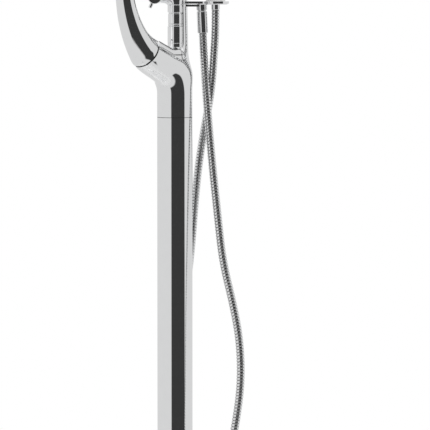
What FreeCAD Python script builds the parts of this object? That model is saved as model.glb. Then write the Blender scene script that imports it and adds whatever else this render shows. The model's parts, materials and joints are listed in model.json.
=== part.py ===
import FreeCAD, Part
import math
import os

from FreeCAD import Placement, Rotation, Vector

# Floor standing bath filler, in millimetres.
# A round column rises from a floor flange and forks. The left branch leans towards the
# bather and carries the spout, the right one runs straight up as a riser to the mixer. A slim
# diverter post stands in the fork, and a bracket on the riser holds the hand shower and its hose.
# Origin: on the floor, on the column's axis. +Z up, +X to the bather's right, -Y to the bather.

# ---- Clearances -------------------------------------------------------------
FIT = 0.05            # radial gap between pieces of one body that plug together
MOVE = 0.3            # gap between faces that move past each other
CUT_PAST = 1.0        # how far a cut runs past the face that it opens
BLOCK = 120.0         # size of the blocks that cut a form off at a plane

# ---- Base -------------------------------------------------------------------
FLANGE_R = 62.0
FLANGE_T = 10.0
BOLT_PCD = 96.0
BOLT_HOLE_R = 4.5
BOLT_COUNT = 4
COLLAR_TOP_Z = 75.0
COLLAR_BORE_R = 24.4
COLLAR_LEDGE_Z = 28.0
COLLAR_LEDGE_W = 1.9
SEAL_R = 55.0
SEAL_T = 3.0
COVER_R = 66.0
COVER_H = 24.0
COVER_RIM_H = 11.0
COVER_EDGE = 2.0
COVER_LIP_W = 6.0     # flat top of the cover, beside the column
COVER_WALL = 1.6
COVER_LIFT = 0.5
BASE_SCREW_Z = 16.0
BASE_SCREW_R = 3.0
BASE_SCREW_COUNT = 3

# ---- Inlets and supply pipes ------------------------------------------------
INLET_SPACING = 23.0
INLET_R = 10.0
INLET_NECK_R = 8.0
INLET_BOTTOM_Z = 10.0
INLET_THREAD_R = 7.6
INLET_THREAD_L = 10.0
INLET_NUT_R = 10.6
INLET_NUT_T = 6.0
INLET_PLATE_T = 6.0
INLET_TOP_RISE = 16.0
CHECK_R = 5.9
CHECK_BORE_R = 2.6
CHECK_L = 9.0
WATERWAY_R = 3.6
PIPE_R = 5.0
PIPE_WALL = 1.0
PIPE_PLUG_L = 8.0
PIPE_BEND_R = 90.0
PIPE_BEND_DROP = 8.0  # from the riser's root down to the pipes' lower bend
PIPE_PITCH = 11.2     # between the two pipes inside the riser

# ---- Column -----------------------------------------------------------------
COLUMN_R = 30.0
COLUMN_WALL = 2.0
SEAM_Z = 753.0
SEAM_GAP = 0.8
SEAM_RECESS = 0.4
SLEEVE_L = 70.0
SLEEVE_WALL = 3.0
SLEEVE_SCREW_R = 2.5
SLEEVE_SCREW_DROP = 20.0
SLEEVE_SCREW_ANGLES = (60.0, 120.0)

# ---- Fork: neck, riser and web ----------------------------------------------
FORK_ANGLE = 227.0    # where the spout points, seen from above
NECK_CORNER_Z = 823.5
NECK_RISE = 27.7      # slope of the neck
NECK_BEND_R = 61.0
NECK_BEND_SLIM = 0.7   # share of the neck's taper that lies in its bend
JOINT_REACH = 71.8    # column axis to the middle of the spout joint
JOINT_R = 26.5
JOINT_TILT = 38.0     # slope of the joint's axis
RING_T = 3.0
RING_RECESS = 1.2
NECK_SLEEVE_R = 20.0
NECK_SLEEVE_WALL = 3.0
NECK_SLEEVE_L = 40.0
O_RING_W = 3.0
O_RING_T = 1.4
CAST_WALL = 3.0
RISER_X = 6.2
RISER_Y = 20.0
RISER_R = 16.4
RISER_ROOT_Z = 788.0
RISER_ROOT_R = 29.0
RISER_STRAIGHT_Z = 885.0
RISER_TOP_Z = 978.0
NECK_ARC_PARTS = 10      # steps of the lofts round their bends
NECK_RUN_PARTS = 4
RISER_PARTS = 12
SPOUT_RISE_PARTS = 12
SPOUT_ARCH_PARTS = 20
JOINT_OVERLAP = 8.0   # how far the lofts run past the joint before they are cut
WEB_HALF_W = 12.0
WEB_ANGLE = 224.0
WEB_SEAT_L = 14.0
WEB_SLOPE = 24.0
WEB_REACH = 74.0
WEB_EDGE_R = 4.0
WEB_DEPTH = 24.0

# ---- Spout ------------------------------------------------------------------
SPOUT_RISE_START = 45.0
SPOUT_RISE_END = 82.0
SPOUT_RISE_R = 172.0
SPOUT_STRAIGHT = 44.0
SPOUT_ARCH_R = 60.0
SPOUT_TIP_SLOPE = -80.0
SPOUT_TIP_L = 10.0
SPOUT_MID_R = 18.2
SPOUT_MID_SHARE = 0.82   # where up the leaning part it is down to its middle radius
SPOUT_SLIM_POWER = 1.6   # how early it gets slim
SPOUT_TOP_R = 15.6
SPOUT_TIP_R = 14.5
SPOUT_WALL = 3.0
AERATOR_R = 12.2
AERATOR_L = 13.0
AERATOR_LIP = 2.0
AERATOR_WALL = 1.4
AERATOR_LIP_IN = 1.2      # the lip is this much smaller than the spout's tip
AERATOR_WASHER_T = 2.0
AERATOR_WASHER_W = 3.0
AERATOR_INSERT_SINK = 1.0
AERATOR_HOLE_R = 0.8
AERATOR_HOLE_PITCH = 3.6
AERATOR_HOLE_MARGIN = 1.5

# ---- Diverter post ----------------------------------------------------------
POST_X = 1.2
POST_Y = -11.0
POST_SEAT_Z = 868.5
POST_R = 13.1
POST_EDGE = 0.8       # chamfer on the post's rings
FOOT_BOTTOM_R = 9.5
FOOT_NECK_H = 3.0
FOOT_NECK_FLARE = 0.6
FOOT_H = 10.5
BARREL_H = 28.0
BARREL_BULGE = 0.4
BARREL_EDGE = 0.3
BARREL_EDGE_H = 1.5
POST_RING_H = 4.3
POST_RING_R = 12.4
SLEEVE_H = 17.1
SLEEVE_R = 12.3
GROOVE_H = 2.2
GROOVE_R = 11.4
COLLAR_H = 14.7
TEE_R = 12.7
TEE_TOP_Z = 978.0
POST_BORE_R = 6.0
BRANCH_Z = 956.8
BRANCH_BORE_R = 5.0
BRANCH_ROOT_R = 13.6
BRANCH_END_R = 11.2
BRANCH_REACH = 34.5   # post axis to knob axis
BOSS_R = 11.0
BOSS_REACH = 13.5     # branch axis to the boss's face
STEM_R = 4.0
STEM_BODY_R = 7.0
STEM_BODY_L = 16.0
STEM_BODY_BACK = 3.0  # closed back of the stem's cartridge
STEM_TOP = 6.0
KNOB_R = 12.0
KNOB_T = 9.0
KNOB_EDGE_R = 1.2
KNOB_PIN_R = 2.9
KNOB_PIN_TIP = 20.5   # knob axis to the pin's tip
KNOB_PIN_SINK = 3.0
KNOB_PIN_ROUND = 1.7
KNOB_PIN_ANGLE = 246.0
KNOB_SCREW_R = 1.5

# ---- Mixer ------------------------------------------------------------------
MIXER_HALF_W = 22.0
MIXER_H = 28.0
CARTRIDGE_R = 17.5
CARTRIDGE_L = 38.0
CARTRIDGE_FLOOR = 8.0
CARTRIDGE_STEM_L = 12.0
CARTRIDGE_NUT_R = 20.0
CARTRIDGE_NUT_BORE_R = 12.0
CARTRIDGE_NUT_H = 7.0
MIXER_PORT_R = 2.6
MIXER_FEED_R = 5.0
STEM_HOLE_R = 9.0
MIXER_COVER_R = 23.0
MIXER_COVER_H = 28.0
MIXER_COVER_WALL = 2.0
MIXER_COVER_BORE_R = 14.0
CAP_R = 22.0
CAP_H = 20.0
CAP_SHOULDER_H = 12.0
CAP_SHOULDER_R = 20.0
CAP_TOP_R = 17.0
CAP_EDGE = 2.0
CAP_STEM_R = 7.0
CAP_SLOT_W = 12.0
CAP_SLOT_FLOOR = 4.5
CAP_SLOT_BACK = 3.0   # space behind the lever's hub
PIVOT_R = 2.5
PIVOT_RISE = 11.0
PIVOT_HALF_L = 18.0
LEVER_R = 5.0
LEVER_TIP_R = 4.0
LEVER_REACH = 84.0
LEVER_HUB_R = 6.0

# ---- Bracket, outlet and holder ---------------------------------------------
PLATE_TOP_Z = 949.0
PLATE_T = 5.4
PLATE_HALF_W = 13.0
PLATE_BEVEL = 2.4
PLATE_BEVEL_H = 1.9
HOLDER_X = 69.2
HOLDER_END_R = 22.9
LINER_R = 14.0
LINER_FLANGE_R = 16.5
LINER_FLANGE_T = 2.0
LINER_LIFT = 0.4
LINER_TAPER = 1.0
LINER_H = 18.0
PLATE_SCREW_R = 2.0
PLATE_SCREW_HEAD_R = 3.6
PLATE_SCREW_HEAD_H = 2.0
PLATE_SCREW_L = 8.0
PLATE_SCREW_X = (30.0, 50.0)
OUTLET_X = 45.4
OUTLET_LEAN = 2.5     # the outlet's mouth leans outwards
ARM_DROP = 3.6
ARM_HALF_W = 8.5
OUTLET_R = 9.1
OUTLET_FACE_Z = 934.4
OUTLET_ROOF = 3.0     # solid metal above the outlet's bore
SPIGOT_R = 7.0
SPIGOT_L = 14.0
OUTLET_BORE_R = 4.0
WASHER_R = 8.5
WASHER_T = 3.2
HOSE_NUT_R = 9.4
HOSE_NUT_END_R = 8.6
HOSE_NUT_L = 35.9
HOSE_NUT_ROUND = 1.5

# ---- Hand shower ------------------------------------------------------------
FERRULE_R = 7.4
FERRULE_BOTTOM_Z = 935.4
FERRULE_SINK = 6.0    # how deep the ferrule sits in the cone
CONE_BOTTOM_Z = 944.0
CONE_BOTTOM_R = 10.2
CONE_TOP_R = 12.2
CONE_L = 34.0
CONE_BORE_R = 8.0
HANDLE_R = 11.6
HANDLE_TOP_R = 13.6
HANDLE_L = 172.0
HANDLE_WALL = 2.4
HANDLE_EDGE = 0.8
HANDLE_FLOOR = 3.0
HANDLE_CAP_H = 4.0
HANDLE_CAP_EDGE_H = 1.0
HANDLE_CAP_TOP_R = 10.6
TAIL_L = 11.0
TAIL_BORE_R = 5.0
HANDSET_WASHER_T = 3.0
HANDSET_CHECK_R = 8.7
HANDSET_CHECK_BORE_R = 3.0
HANDSET_CHECK_L = 10.0
SPRAY_W = 15.0
SPRAY_L = 78.0
SPRAY_DEPTH = 2.6
SPRAY_SINK = 0.4      # the plate lies this far below the handle's front
SPRAY_TOP_MARGIN = 14.0
NOZZLE_R = 0.9
NOZZLE_PROUD = 1.0
NOZZLE_ROWS = 11
NOZZLE_COLUMNS = 3
NOZZLE_PITCH = 4.2
NOZZLE_ROW_PITCH = 6.4

# ---- Hose -------------------------------------------------------------------
HOSE_R = 7.0
HOSE_VALLEY_R = 6.2
HOSE_BORE_R = 4.0
HOSE_RIBS = 196
HOSE_RIB = ((0.1, HOSE_VALLEY_R), (0.28, HOSE_R), (0.82, HOSE_R), (1.0, HOSE_VALLEY_R))
HOSE_STEADY = Vector(0.847, 0.532, 0)   # level, and never along the hose: it keeps the loft untwisted
HOSE_ROUTE = [
    (47.51, 20, 895.34),
    (49.55, 20, 850),
    (54.7, 2, 775),
    (63, -17, 680),
    (72.5, -34, 590),
    (81.5, -50, 508),
    (99.5, -63, 436),
    (111, -71, 372),
    (112.5, -75, 300),
    (101.5, -74, 226),
    (91, -57, 174),
    (73, -24, 146),
    (48, 17, 146),
    (27, 51, 174),
    (17, 66, 226),
    (11, 68, 300),
    (12, 66, 380),
    (19, 60, 456),
    (28, 52, 530),
    (33.5, 44, 604),
    (40.5, 38, 674),
    (51.5, 34, 740),
    (62.5, 31, 800),
    (66.8, 25, 862),
    (69.2, 20, 900),
    (69.2, 20, 935.4),
]

# ---- Derived sizes ----------------------------------------------------------
COLUMN_IN_R = COLUMN_R - COLUMN_WALL
COLLAR_R = COLUMN_IN_R - FIT
SLEEVE_IN_R = COLLAR_R - SLEEVE_WALL
FORK_DIR = Vector(math.cos(math.radians(FORK_ANGLE)), math.sin(math.radians(FORK_ANGLE)), 0)
UP = Vector(0, 0, 1)
JOINT_Z = NECK_CORNER_Z + JOINT_REACH * math.tan(math.radians(NECK_RISE))
JOINT_POS = FORK_DIR * JOINT_REACH + UP * JOINT_Z
POST_POS = Vector(POST_X, POST_Y, 0)
RISER_POS = Vector(RISER_X, RISER_Y, 0)
MIXER_POS = (POST_POS + RISER_POS) * 0.5
PLATE_BOTTOM_Z = PLATE_TOP_Z - PLATE_T
INLET_PLATE_TOP_Z = COLLAR_LEDGE_Z + INLET_PLATE_T
INLET_TOP_Z = INLET_PLATE_TOP_Z + INLET_TOP_RISE
NECK_BORE_R = NECK_SLEEVE_R + FIT


# ---- Helpers ----------------------------------------------------------------
def save(name, shape):
    shape.exportStep("parts/" + name + ".step")


def disc(radius, bottom, top, at=Vector(0, 0, 0)):
    base = Vector(at.x, at.y, bottom)
    return Part.makeCylinder(radius, top - bottom, base)


def ring(outer, inner, bottom, top, at=Vector(0, 0, 0)):
    return disc(outer, bottom, top, at).cut(disc(inner, bottom, top, at))


def rod(radius, start, end):
    return Part.makeCylinder(radius, (end - start).Length, start, end - start)


def cone(start_r, end_r, start, end):
    return Part.makeCone(start_r, end_r, (end - start).Length, start, end - start)


def turned(outline, at=Vector(0, 0, 0)):
    """Solid of revolution about the vertical through at, from (radius, height) corners."""
    points = [Vector(r, 0, z) for r, z in outline]
    face = Part.Face(Part.makePolygon(points + [points[0]]))
    solid = face.revolve(Vector(0, 0, 0), UP, 360)
    solid.translate(Vector(at.x, at.y, 0))
    return solid


def fuse(shapes):
    return shapes[0].multiFuse(shapes[1:]).removeSplitter()


def slope_dir(degrees):
    """Unit vector in the fork's plane, at this slope above the floor."""
    angle = math.radians(degrees)
    return FORK_DIR * math.cos(angle) + UP * math.sin(angle)


def circle_wire(radius, centre, normal, x_axis):
    """A circle with a steady X axis, so that lofts through many don't twist."""
    z_axis = Vector(normal).normalize()
    x_dir = (x_axis - z_axis * x_axis.dot(z_axis)).normalize()
    edge = Part.makeCircle(radius)
    edge.Placement = Placement(centre, Rotation(x_dir, z_axis.cross(x_dir), z_axis, "ZXY"))
    return Part.Wire(edge)


def loft(sections, x_axis, shrink=0.0):
    """Solid through (centre, normal, radius) sections, each radius less shrink."""
    wires = [circle_wire(r - shrink, centre, normal, x_axis) for centre, normal, r in sections]
    return Part.makeLoft(wires, True, True)


def run_between(first, last, parts):
    """Sections of a smooth run from one section to another, without the first."""
    start, leave, start_r = first
    end, arrive, end_r = last
    reach = (end - start).Length
    sections = []
    for i in range(1, parts + 1):
        t = i / parts
        centre = (start * (2 * t ** 3 - 3 * t ** 2 + 1) + leave * (reach * (t ** 3 - 2 * t ** 2 + t))
                  + end * (3 * t ** 2 - 2 * t ** 3) + arrive * (reach * (t ** 3 - t ** 2)))
        heading = (start * (6 * t ** 2 - 6 * t) + leave * (reach * (3 * t ** 2 - 4 * t + 1))
                   + end * (6 * t - 6 * t ** 2) + arrive * (reach * (3 * t ** 2 - 2 * t)))
        sections.append((centre, heading.normalize(), start_r + (end_r - start_r) * t))
    return sections


def rounded_route(points, radii=None):
    """Straight runs joined by tangent arcs: each arc takes 0.45 of its shorter run."""
    edges = []
    start = points[0]
    found = []
    for i in range(1, len(points) - 1):
        before = points[i] - points[i - 1]
        after = points[i + 1] - points[i]
        turn = before.getAngle(after)
        shorter = min(before.Length, after.Length)
        reach = 0.45 * shorter
        if radii:
            reach = radii[i - 1] * math.tan(turn / 2)
        arc_r = reach / math.tan(turn / 2)
        found.append(arc_r)
        into = Vector(before).normalize()
        out = Vector(after).normalize()
        first = points[i] - into * reach
        last = points[i] + out * reach
        inward = (out - into).normalize()
        middle = points[i] + inward * (arc_r / math.cos(turn / 2) - arc_r)
        edges.append(Part.LineSegment(start, first).toShape())
        edges.append(Part.Arc(first, middle, last).toShape())
        start = last
    edges.append(Part.LineSegment(start, points[-1]).toShape())
    return Part.Wire(edges), found


def tube(points, outer, inner, radii):
    """Round tube along a route of runs and arcs."""
    path, _ = rounded_route(points, radii)
    direction = points[1] - points[0]
    solids = []
    for radius in (outer, inner):
        profile = circle_wire(radius, points[0], direction, Vector(1, 0, 0))
        solids.append(path.makePipeShell([profile], True, False))
    return solids[0].cut(solids[1])


# ---- Base -------------------------------------------------------------------
def bolt_points():
    step = 360.0 / BOLT_COUNT
    angles = [math.radians(45 + step * i) for i in range(BOLT_COUNT)]
    return [Vector(math.cos(a), math.sin(a), 0) * (BOLT_PCD / 2) for a in angles]


def screw_dirs(angles):
    return [Vector(math.cos(math.radians(a)), math.sin(math.radians(a)), 0) for a in angles]


def base_screw_dirs():
    return screw_dirs([90 + 360.0 / BASE_SCREW_COUNT * i for i in range(BASE_SCREW_COUNT)])


def make_base():
    """Bolted flange, the collar that stands on it inside the column, seal, screws and cover."""
    ledge_r = COLLAR_BORE_R - COLLAR_LEDGE_W
    groove_r = SEAL_R + SEAL_T / 2
    flange = ring(FLANGE_R, ledge_r, 0, FLANGE_T).cut(ring(groove_r, groove_r - SEAL_T, 0, SEAL_T))
    for point in bolt_points():
        flange = flange.cut(disc(BOLT_HOLE_R, 0, FLANGE_T, point))
    collar = turned([
        (ledge_r, FLANGE_T), (COLLAR_R, FLANGE_T), (COLLAR_R, COLLAR_TOP_Z),
        (COLLAR_BORE_R, COLLAR_TOP_Z), (COLLAR_BORE_R, COLLAR_LEDGE_Z), (ledge_r, COLLAR_LEDGE_Z),
    ])
    column = ring(COLUMN_R, COLUMN_IN_R, FLANGE_T, SEAM_Z - SEAM_GAP / 2)
    screws = []
    height = UP * BASE_SCREW_Z
    for direction in base_screw_dirs():
        inside = direction * COLLAR_BORE_R + height
        hole = rod(BASE_SCREW_R + FIT, inside, direction * (COLUMN_R + CUT_PAST) + height)
        collar = collar.cut(hole)
        column = column.cut(hole)
        screws.append(rod(BASE_SCREW_R, inside, direction * (COLUMN_R - FIT) + height))
    seal = ring(groove_r - FIT, groove_r - SEAL_T + FIT, FIT, SEAL_T)
    cover_in = COLUMN_R + FIT
    cover = turned([
        (COVER_R - COVER_WALL, COVER_LIFT), (COVER_R, COVER_LIFT), (COVER_R, COVER_RIM_H),
        (COVER_R - COVER_EDGE, COVER_RIM_H + COVER_EDGE), (cover_in + COVER_LIP_W, COVER_H),
        (cover_in, COVER_H), (cover_in, COVER_H - COVER_WALL),
        (cover_in + COVER_LIP_W - COVER_WALL / 2, COVER_H - COVER_WALL), (COVER_R - COVER_WALL, COVER_RIM_H),
    ])
    save("floor_flange", flange)
    save("base_collar", collar)
    save("floor_seal", seal)
    save("base_cover", cover)
    save("base_grub_screws", Part.makeCompound(screws))
    return column


# ---- Column and its joint with the fork -------------------------------------
def make_column(column):
    bottom = SEAM_Z - SLEEVE_L / 2
    top = SEAM_Z + SLEEVE_L / 2
    sleeve = ring(COLLAR_R, SLEEVE_IN_R, bottom, top)
    screws = []
    height = UP * (SEAM_Z - SLEEVE_SCREW_DROP)
    for direction in screw_dirs(SLEEVE_SCREW_ANGLES):
        hole = rod(SLEEVE_SCREW_R + FIT, direction * (SLEEVE_IN_R - CUT_PAST) + height,
                   direction * (COLUMN_R + CUT_PAST) + height)
        sleeve = sleeve.cut(hole)
        column = column.cut(hole)
        screws.append(rod(SLEEVE_SCREW_R, direction * SLEEVE_IN_R + height,
                          direction * (COLUMN_R - FIT) + height))
    gasket = ring(COLUMN_R - SEAM_RECESS, COLUMN_IN_R, SEAM_Z - SEAM_GAP / 2,
                  SEAM_Z + SEAM_GAP / 2)
    save("column_tube", column)
    save("joint_sleeve", sleeve)
    save("joint_screws", Part.makeCompound(screws))
    save("seam_gasket", gasket)


# ---- Inlets and supply pipes ------------------------------------------------
def make_inlets():
    plate = disc(COLLAR_BORE_R - FIT, COLLAR_LEDGE_Z, INLET_PLATE_TOP_Z)
    nuts = []
    checks = []
    riser_at = {"cold": PIPE_PITCH / 2, "hot": -PIPE_PITCH / 2}
    for name, side in (("hot", -1), ("cold", 1)):
        at = Vector(side * INLET_SPACING / 2, 0, 0)
        plate = plate.cut(disc(INLET_NECK_R + FIT, COLLAR_LEDGE_Z, INLET_PLATE_TOP_Z, at))
        body = turned([
            (0, INLET_BOTTOM_Z), (INLET_R, INLET_BOTTOM_Z), (INLET_R, COLLAR_LEDGE_Z),
            (INLET_NECK_R, COLLAR_LEDGE_Z), (INLET_NECK_R, INLET_TOP_Z), (0, INLET_TOP_Z),
        ], at)
        thread_end = INLET_BOTTOM_Z + INLET_THREAD_L
        check_end = thread_end + CHECK_L
        body = body.cut(disc(INLET_THREAD_R, INLET_BOTTOM_Z, thread_end, at))
        body = body.cut(disc(CHECK_R + FIT, thread_end, check_end, at))
        body = body.cut(disc(WATERWAY_R, check_end, INLET_TOP_Z, at))
        pipe_start = INLET_TOP_Z - PIPE_PLUG_L
        body = body.cut(disc(PIPE_R + FIT, pipe_start, INLET_TOP_Z, at))
        nuts.append(ring(INLET_NUT_R, INLET_NECK_R + FIT, INLET_PLATE_TOP_Z,
                         INLET_PLATE_TOP_Z + INLET_NUT_T, at))
        checks.append(ring(CHECK_R, CHECK_BORE_R, thread_end, check_end, at))
        top = Vector(RISER_X + riser_at[name], RISER_Y, 0)
        points = [
            Vector(at.x, at.y, pipe_start), Vector(at.x, at.y, RISER_ROOT_Z - PIPE_BEND_DROP),
            Vector(top.x, top.y, RISER_STRAIGHT_Z), Vector(top.x, top.y, RISER_TOP_Z + PIPE_PLUG_L),
        ]
        pipe = tube(points, PIPE_R, PIPE_R - PIPE_WALL, (PIPE_BEND_R, PIPE_BEND_R))
        save(name + "_inlet", body)
        save(name + "_supply_pipe", pipe)
    save("inlet_plate", plate)
    save("inlet_nuts", Part.makeCompound(nuts))
    save("check_valves", Part.makeCompound(checks))


# ---- Fork -------------------------------------------------------------------
def neck_sections():
    """From the column's top, round the bend and along the neck to the spout joint."""
    sections = [(UP * SEAM_Z, UP, COLUMN_R)]
    turn = 90.0 - NECK_RISE
    tangent = NECK_BEND_R * math.tan(math.radians(turn / 2))
    bend_z = NECK_CORNER_Z - tangent
    for i in range(NECK_ARC_PARTS + 1):
        share = i / NECK_ARC_PARTS
        angle = math.radians(turn * share)
        centre = (FORK_DIR * (NECK_BEND_R * (1 - math.cos(angle)))
                  + UP * (bend_z + NECK_BEND_R * math.sin(angle)))
        radius = COLUMN_R + (JOINT_R - COLUMN_R) * NECK_BEND_SLIM * share
        sections.append((centre, slope_dir(90.0 - turn * share), radius))
    joint = (JOINT_POS, slope_dir(JOINT_TILT), JOINT_R)
    return sections + run_between(sections[-1], joint, NECK_RUN_PARTS)


def riser_sections():
    """From inside the column's top, leaning back, then straight up to the mixer."""
    sections = []
    for i in range(RISER_PARTS + 1):
        share = i / RISER_PARTS
        offset = share * share * (3 - 2 * share)
        height = RISER_ROOT_Z + (RISER_STRAIGHT_Z - RISER_ROOT_Z) * share
        radius = RISER_ROOT_R + (RISER_R - RISER_ROOT_R) * offset
        sections.append((RISER_POS * offset + UP * height, UP, radius))
    sections.append((RISER_POS + UP * RISER_TOP_Z, UP, RISER_R))
    return sections


def across_web(shape, slope, at):
    """Puts a shape drawn along +X into the web's own plane."""
    turn = Rotation(UP, WEB_ANGLE) * Rotation(Vector(0, 1, 0), -slope)
    shape.Placement = Placement(at, turn)
    return shape


def web_solid():
    """Rounded web that carries the post and runs down the spout's back."""
    angle = math.radians(WEB_ANGLE)
    along = Vector(math.cos(angle), math.sin(angle), 0)
    seat = POST_POS + UP * POST_SEAT_Z
    base = seat - UP * WEB_DEPTH
    wide = 4 * WEB_HALF_W
    body = Part.makeBox(WEB_REACH, 2 * WEB_HALF_W, WEB_REACH, Vector(0, -WEB_HALF_W, 0))
    body = across_web(body, 0, base)
    body = body.fuse(disc(WEB_HALF_W, base.z, base.z + WEB_REACH, POST_POS))
    level = Part.makeBox(WEB_SEAT_L + wide / 2, wide, WEB_REACH, Vector(-wide / 2, -wide / 2, 0))
    ramp = Part.makeBox(2 * WEB_REACH, wide, 2 * WEB_REACH, Vector(0, -wide / 2, 0))
    body = body.cut(across_web(level, 0, seat))
    body = body.cut(across_web(ramp, WEB_SLOPE, seat + along * WEB_SEAT_L))
    rims = [edge for edge in body.Edges if is_web_rim(edge, along)]
    return body.makeFillet(WEB_EDGE_R, rims)


def is_web_rim(edge, along):
    """True for the web's upper edges, apart from those that run square across it."""
    if min(v.Z for v in edge.Vertexes) < POST_SEAT_Z - 0.01:
        return False
    if edge.Curve.TypeId == "Part::GeomCircle" or len(edge.Vertexes) < 2:
        return True
    run = (edge.Vertexes[-1].Point - edge.Vertexes[0].Point).normalize()
    return abs(run.dot(along)) > 0.01


def joint_block(side):
    """A block on one side of the spout joint: +1 the spout's side, -1 the neck's."""
    normal = slope_dir(JOINT_TILT) * side
    block = Part.makeBox(BLOCK, BLOCK, BLOCK,
                         Vector(-BLOCK / 2, -BLOCK / 2, 0))
    block.Placement = Placement(JOINT_POS - normal * (RING_T / 2), Rotation(UP, normal)) * block.Placement
    return block


def make_fork():
    across = FORK_DIR.cross(UP)
    axis = slope_dir(JOINT_TILT)
    sections = neck_sections()
    past_joint = (JOINT_POS + axis * JOINT_OVERLAP, axis, JOINT_R)
    neck = loft(sections + [past_joint], across)
    web = web_solid()
    body = neck.fuse(web).cut(joint_block(1))
    body = body.fuse(loft(riser_sections(), across))
    body = body.cut(loft(sections[:-1], across, CAST_WALL))
    body = body.cut(loft(riser_sections(), across, CAST_WALL))
    sleeve_bore = disc(COLUMN_IN_R, SEAM_Z, SEAM_Z + SLEEVE_L / 2)
    joint_bore = rod(NECK_BORE_R, JOINT_POS - axis * (NECK_SLEEVE_L / 2), JOINT_POS)
    waterway = disc(POST_BORE_R, POST_SEAT_Z - WEB_DEPTH - CAST_WALL, POST_SEAT_Z, POST_POS)
    seam = disc(COLUMN_R + CUT_PAST, SEAM_Z, SEAM_Z + SEAM_GAP / 2)
    for hollow in (sleeve_bore, joint_bore, waterway, seam):
        body = body.cut(hollow)
    print("fork valid", body.isValid(), "solids", len(body.Solids))
    save("fork_casting", body.Solids[0])
    return web


def make_joint():
    axis = slope_dir(JOINT_TILT)
    half = axis * (RING_T / 2)
    seal = rod(JOINT_R - RING_RECESS, JOINT_POS - half, JOINT_POS + half)
    seal = seal.cut(rod(NECK_BORE_R, JOINT_POS - half, JOINT_POS + half))
    reach = axis * (NECK_SLEEVE_L / 2)
    sleeve = rod(NECK_SLEEVE_R, JOINT_POS - reach, JOINT_POS + reach)
    sleeve = sleeve.cut(rod(NECK_SLEEVE_R - NECK_SLEEVE_WALL, JOINT_POS - reach, JOINT_POS + reach))
    rings = []
    for side in (-1, 1):
        low = JOINT_POS + axis * (side * NECK_SLEEVE_L / 4 - O_RING_W / 2)
        high = low + axis * O_RING_W
        groove = rod(NECK_SLEEVE_R, low, high)
        groove = groove.cut(rod(NECK_SLEEVE_R - O_RING_T, low, high))
        sleeve = sleeve.cut(groove)
        rings.append(groove)
    save("spout_joint_ring", seal)
    save("spout_joint_sleeve", sleeve)
    save("spout_o_rings", Part.makeCompound(rings))


# ---- Spout ------------------------------------------------------------------
def spout_sections():
    """From the joint, rising, then over the arch and down to the tip."""
    sections = [(JOINT_POS, slope_dir(JOINT_TILT), JOINT_R)]
    start = math.radians(SPOUT_RISE_START)
    for i in range(1, SPOUT_RISE_PARTS + 1):
        share = i / SPOUT_RISE_PARTS
        slope = SPOUT_RISE_START + (SPOUT_RISE_END - SPOUT_RISE_START) * share
        angle = math.radians(slope)
        centre = (JOINT_POS + FORK_DIR * (SPOUT_RISE_R * (math.sin(angle) - math.sin(start)))
                  + UP * (SPOUT_RISE_R * (math.cos(start) - math.cos(angle))))
        sections.append((centre, slope_dir(slope), spout_rise_r(share)))
    knee = sections[-1][0] + slope_dir(SPOUT_RISE_END) * SPOUT_STRAIGHT
    first = math.radians(SPOUT_RISE_END)
    for i in range(SPOUT_ARCH_PARTS + 1):
        share = i / SPOUT_ARCH_PARTS
        slope = SPOUT_RISE_END + (SPOUT_TIP_SLOPE - SPOUT_RISE_END) * share
        angle = math.radians(slope)
        centre = (knee + FORK_DIR * (SPOUT_ARCH_R * (math.sin(first) - math.sin(angle)))
                  + UP * (SPOUT_ARCH_R * (math.cos(angle) - math.cos(first))))
        radius = SPOUT_TOP_R + (SPOUT_TIP_R - SPOUT_TOP_R) * share
        sections.append((centre, slope_dir(slope), radius))
    tip = sections[-1][0] + slope_dir(SPOUT_TIP_SLOPE) * SPOUT_TIP_L
    sections.append((tip, slope_dir(SPOUT_TIP_SLOPE), SPOUT_TIP_R))
    return sections


def spout_rise_r(share):
    """Radius up the spout's leaning part: wide at the joint, slim from two thirds up."""
    slim = 1 - (1 - share) ** SPOUT_SLIM_POWER
    low = JOINT_R + (SPOUT_MID_R - JOINT_R) * min(slim / SPOUT_MID_SHARE, 1)
    past = max(0, (slim - SPOUT_MID_SHARE) / (1 - SPOUT_MID_SHARE))
    return low + (SPOUT_TOP_R - SPOUT_MID_R) * past


def make_spout(web):
    across = FORK_DIR.cross(UP)
    sections = spout_sections()
    axis = slope_dir(JOINT_TILT)
    before_joint = (JOINT_POS - axis * JOINT_OVERLAP, axis, JOINT_R)
    body = loft([before_joint] + sections, across).fuse(web).cut(joint_block(-1))
    hollow = loft(sections[1:], across, SPOUT_WALL)
    joint_bore = rod(NECK_BORE_R, JOINT_POS, JOINT_POS + axis * (NECK_SLEEVE_L / 2))
    tip = sections[-1][0]
    down = slope_dir(SPOUT_TIP_SLOPE)
    bore_top = tip - down * (AERATOR_L - AERATOR_LIP)
    body = body.cut(hollow).cut(joint_bore)
    body = body.cut(rod(AERATOR_R + FIT, bore_top, tip))
    print("spout valid", body.isValid(), "solids", len(body.Solids))
    save("spout_arm", body.Solids[0])
    make_aerator(tip, down)


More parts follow.
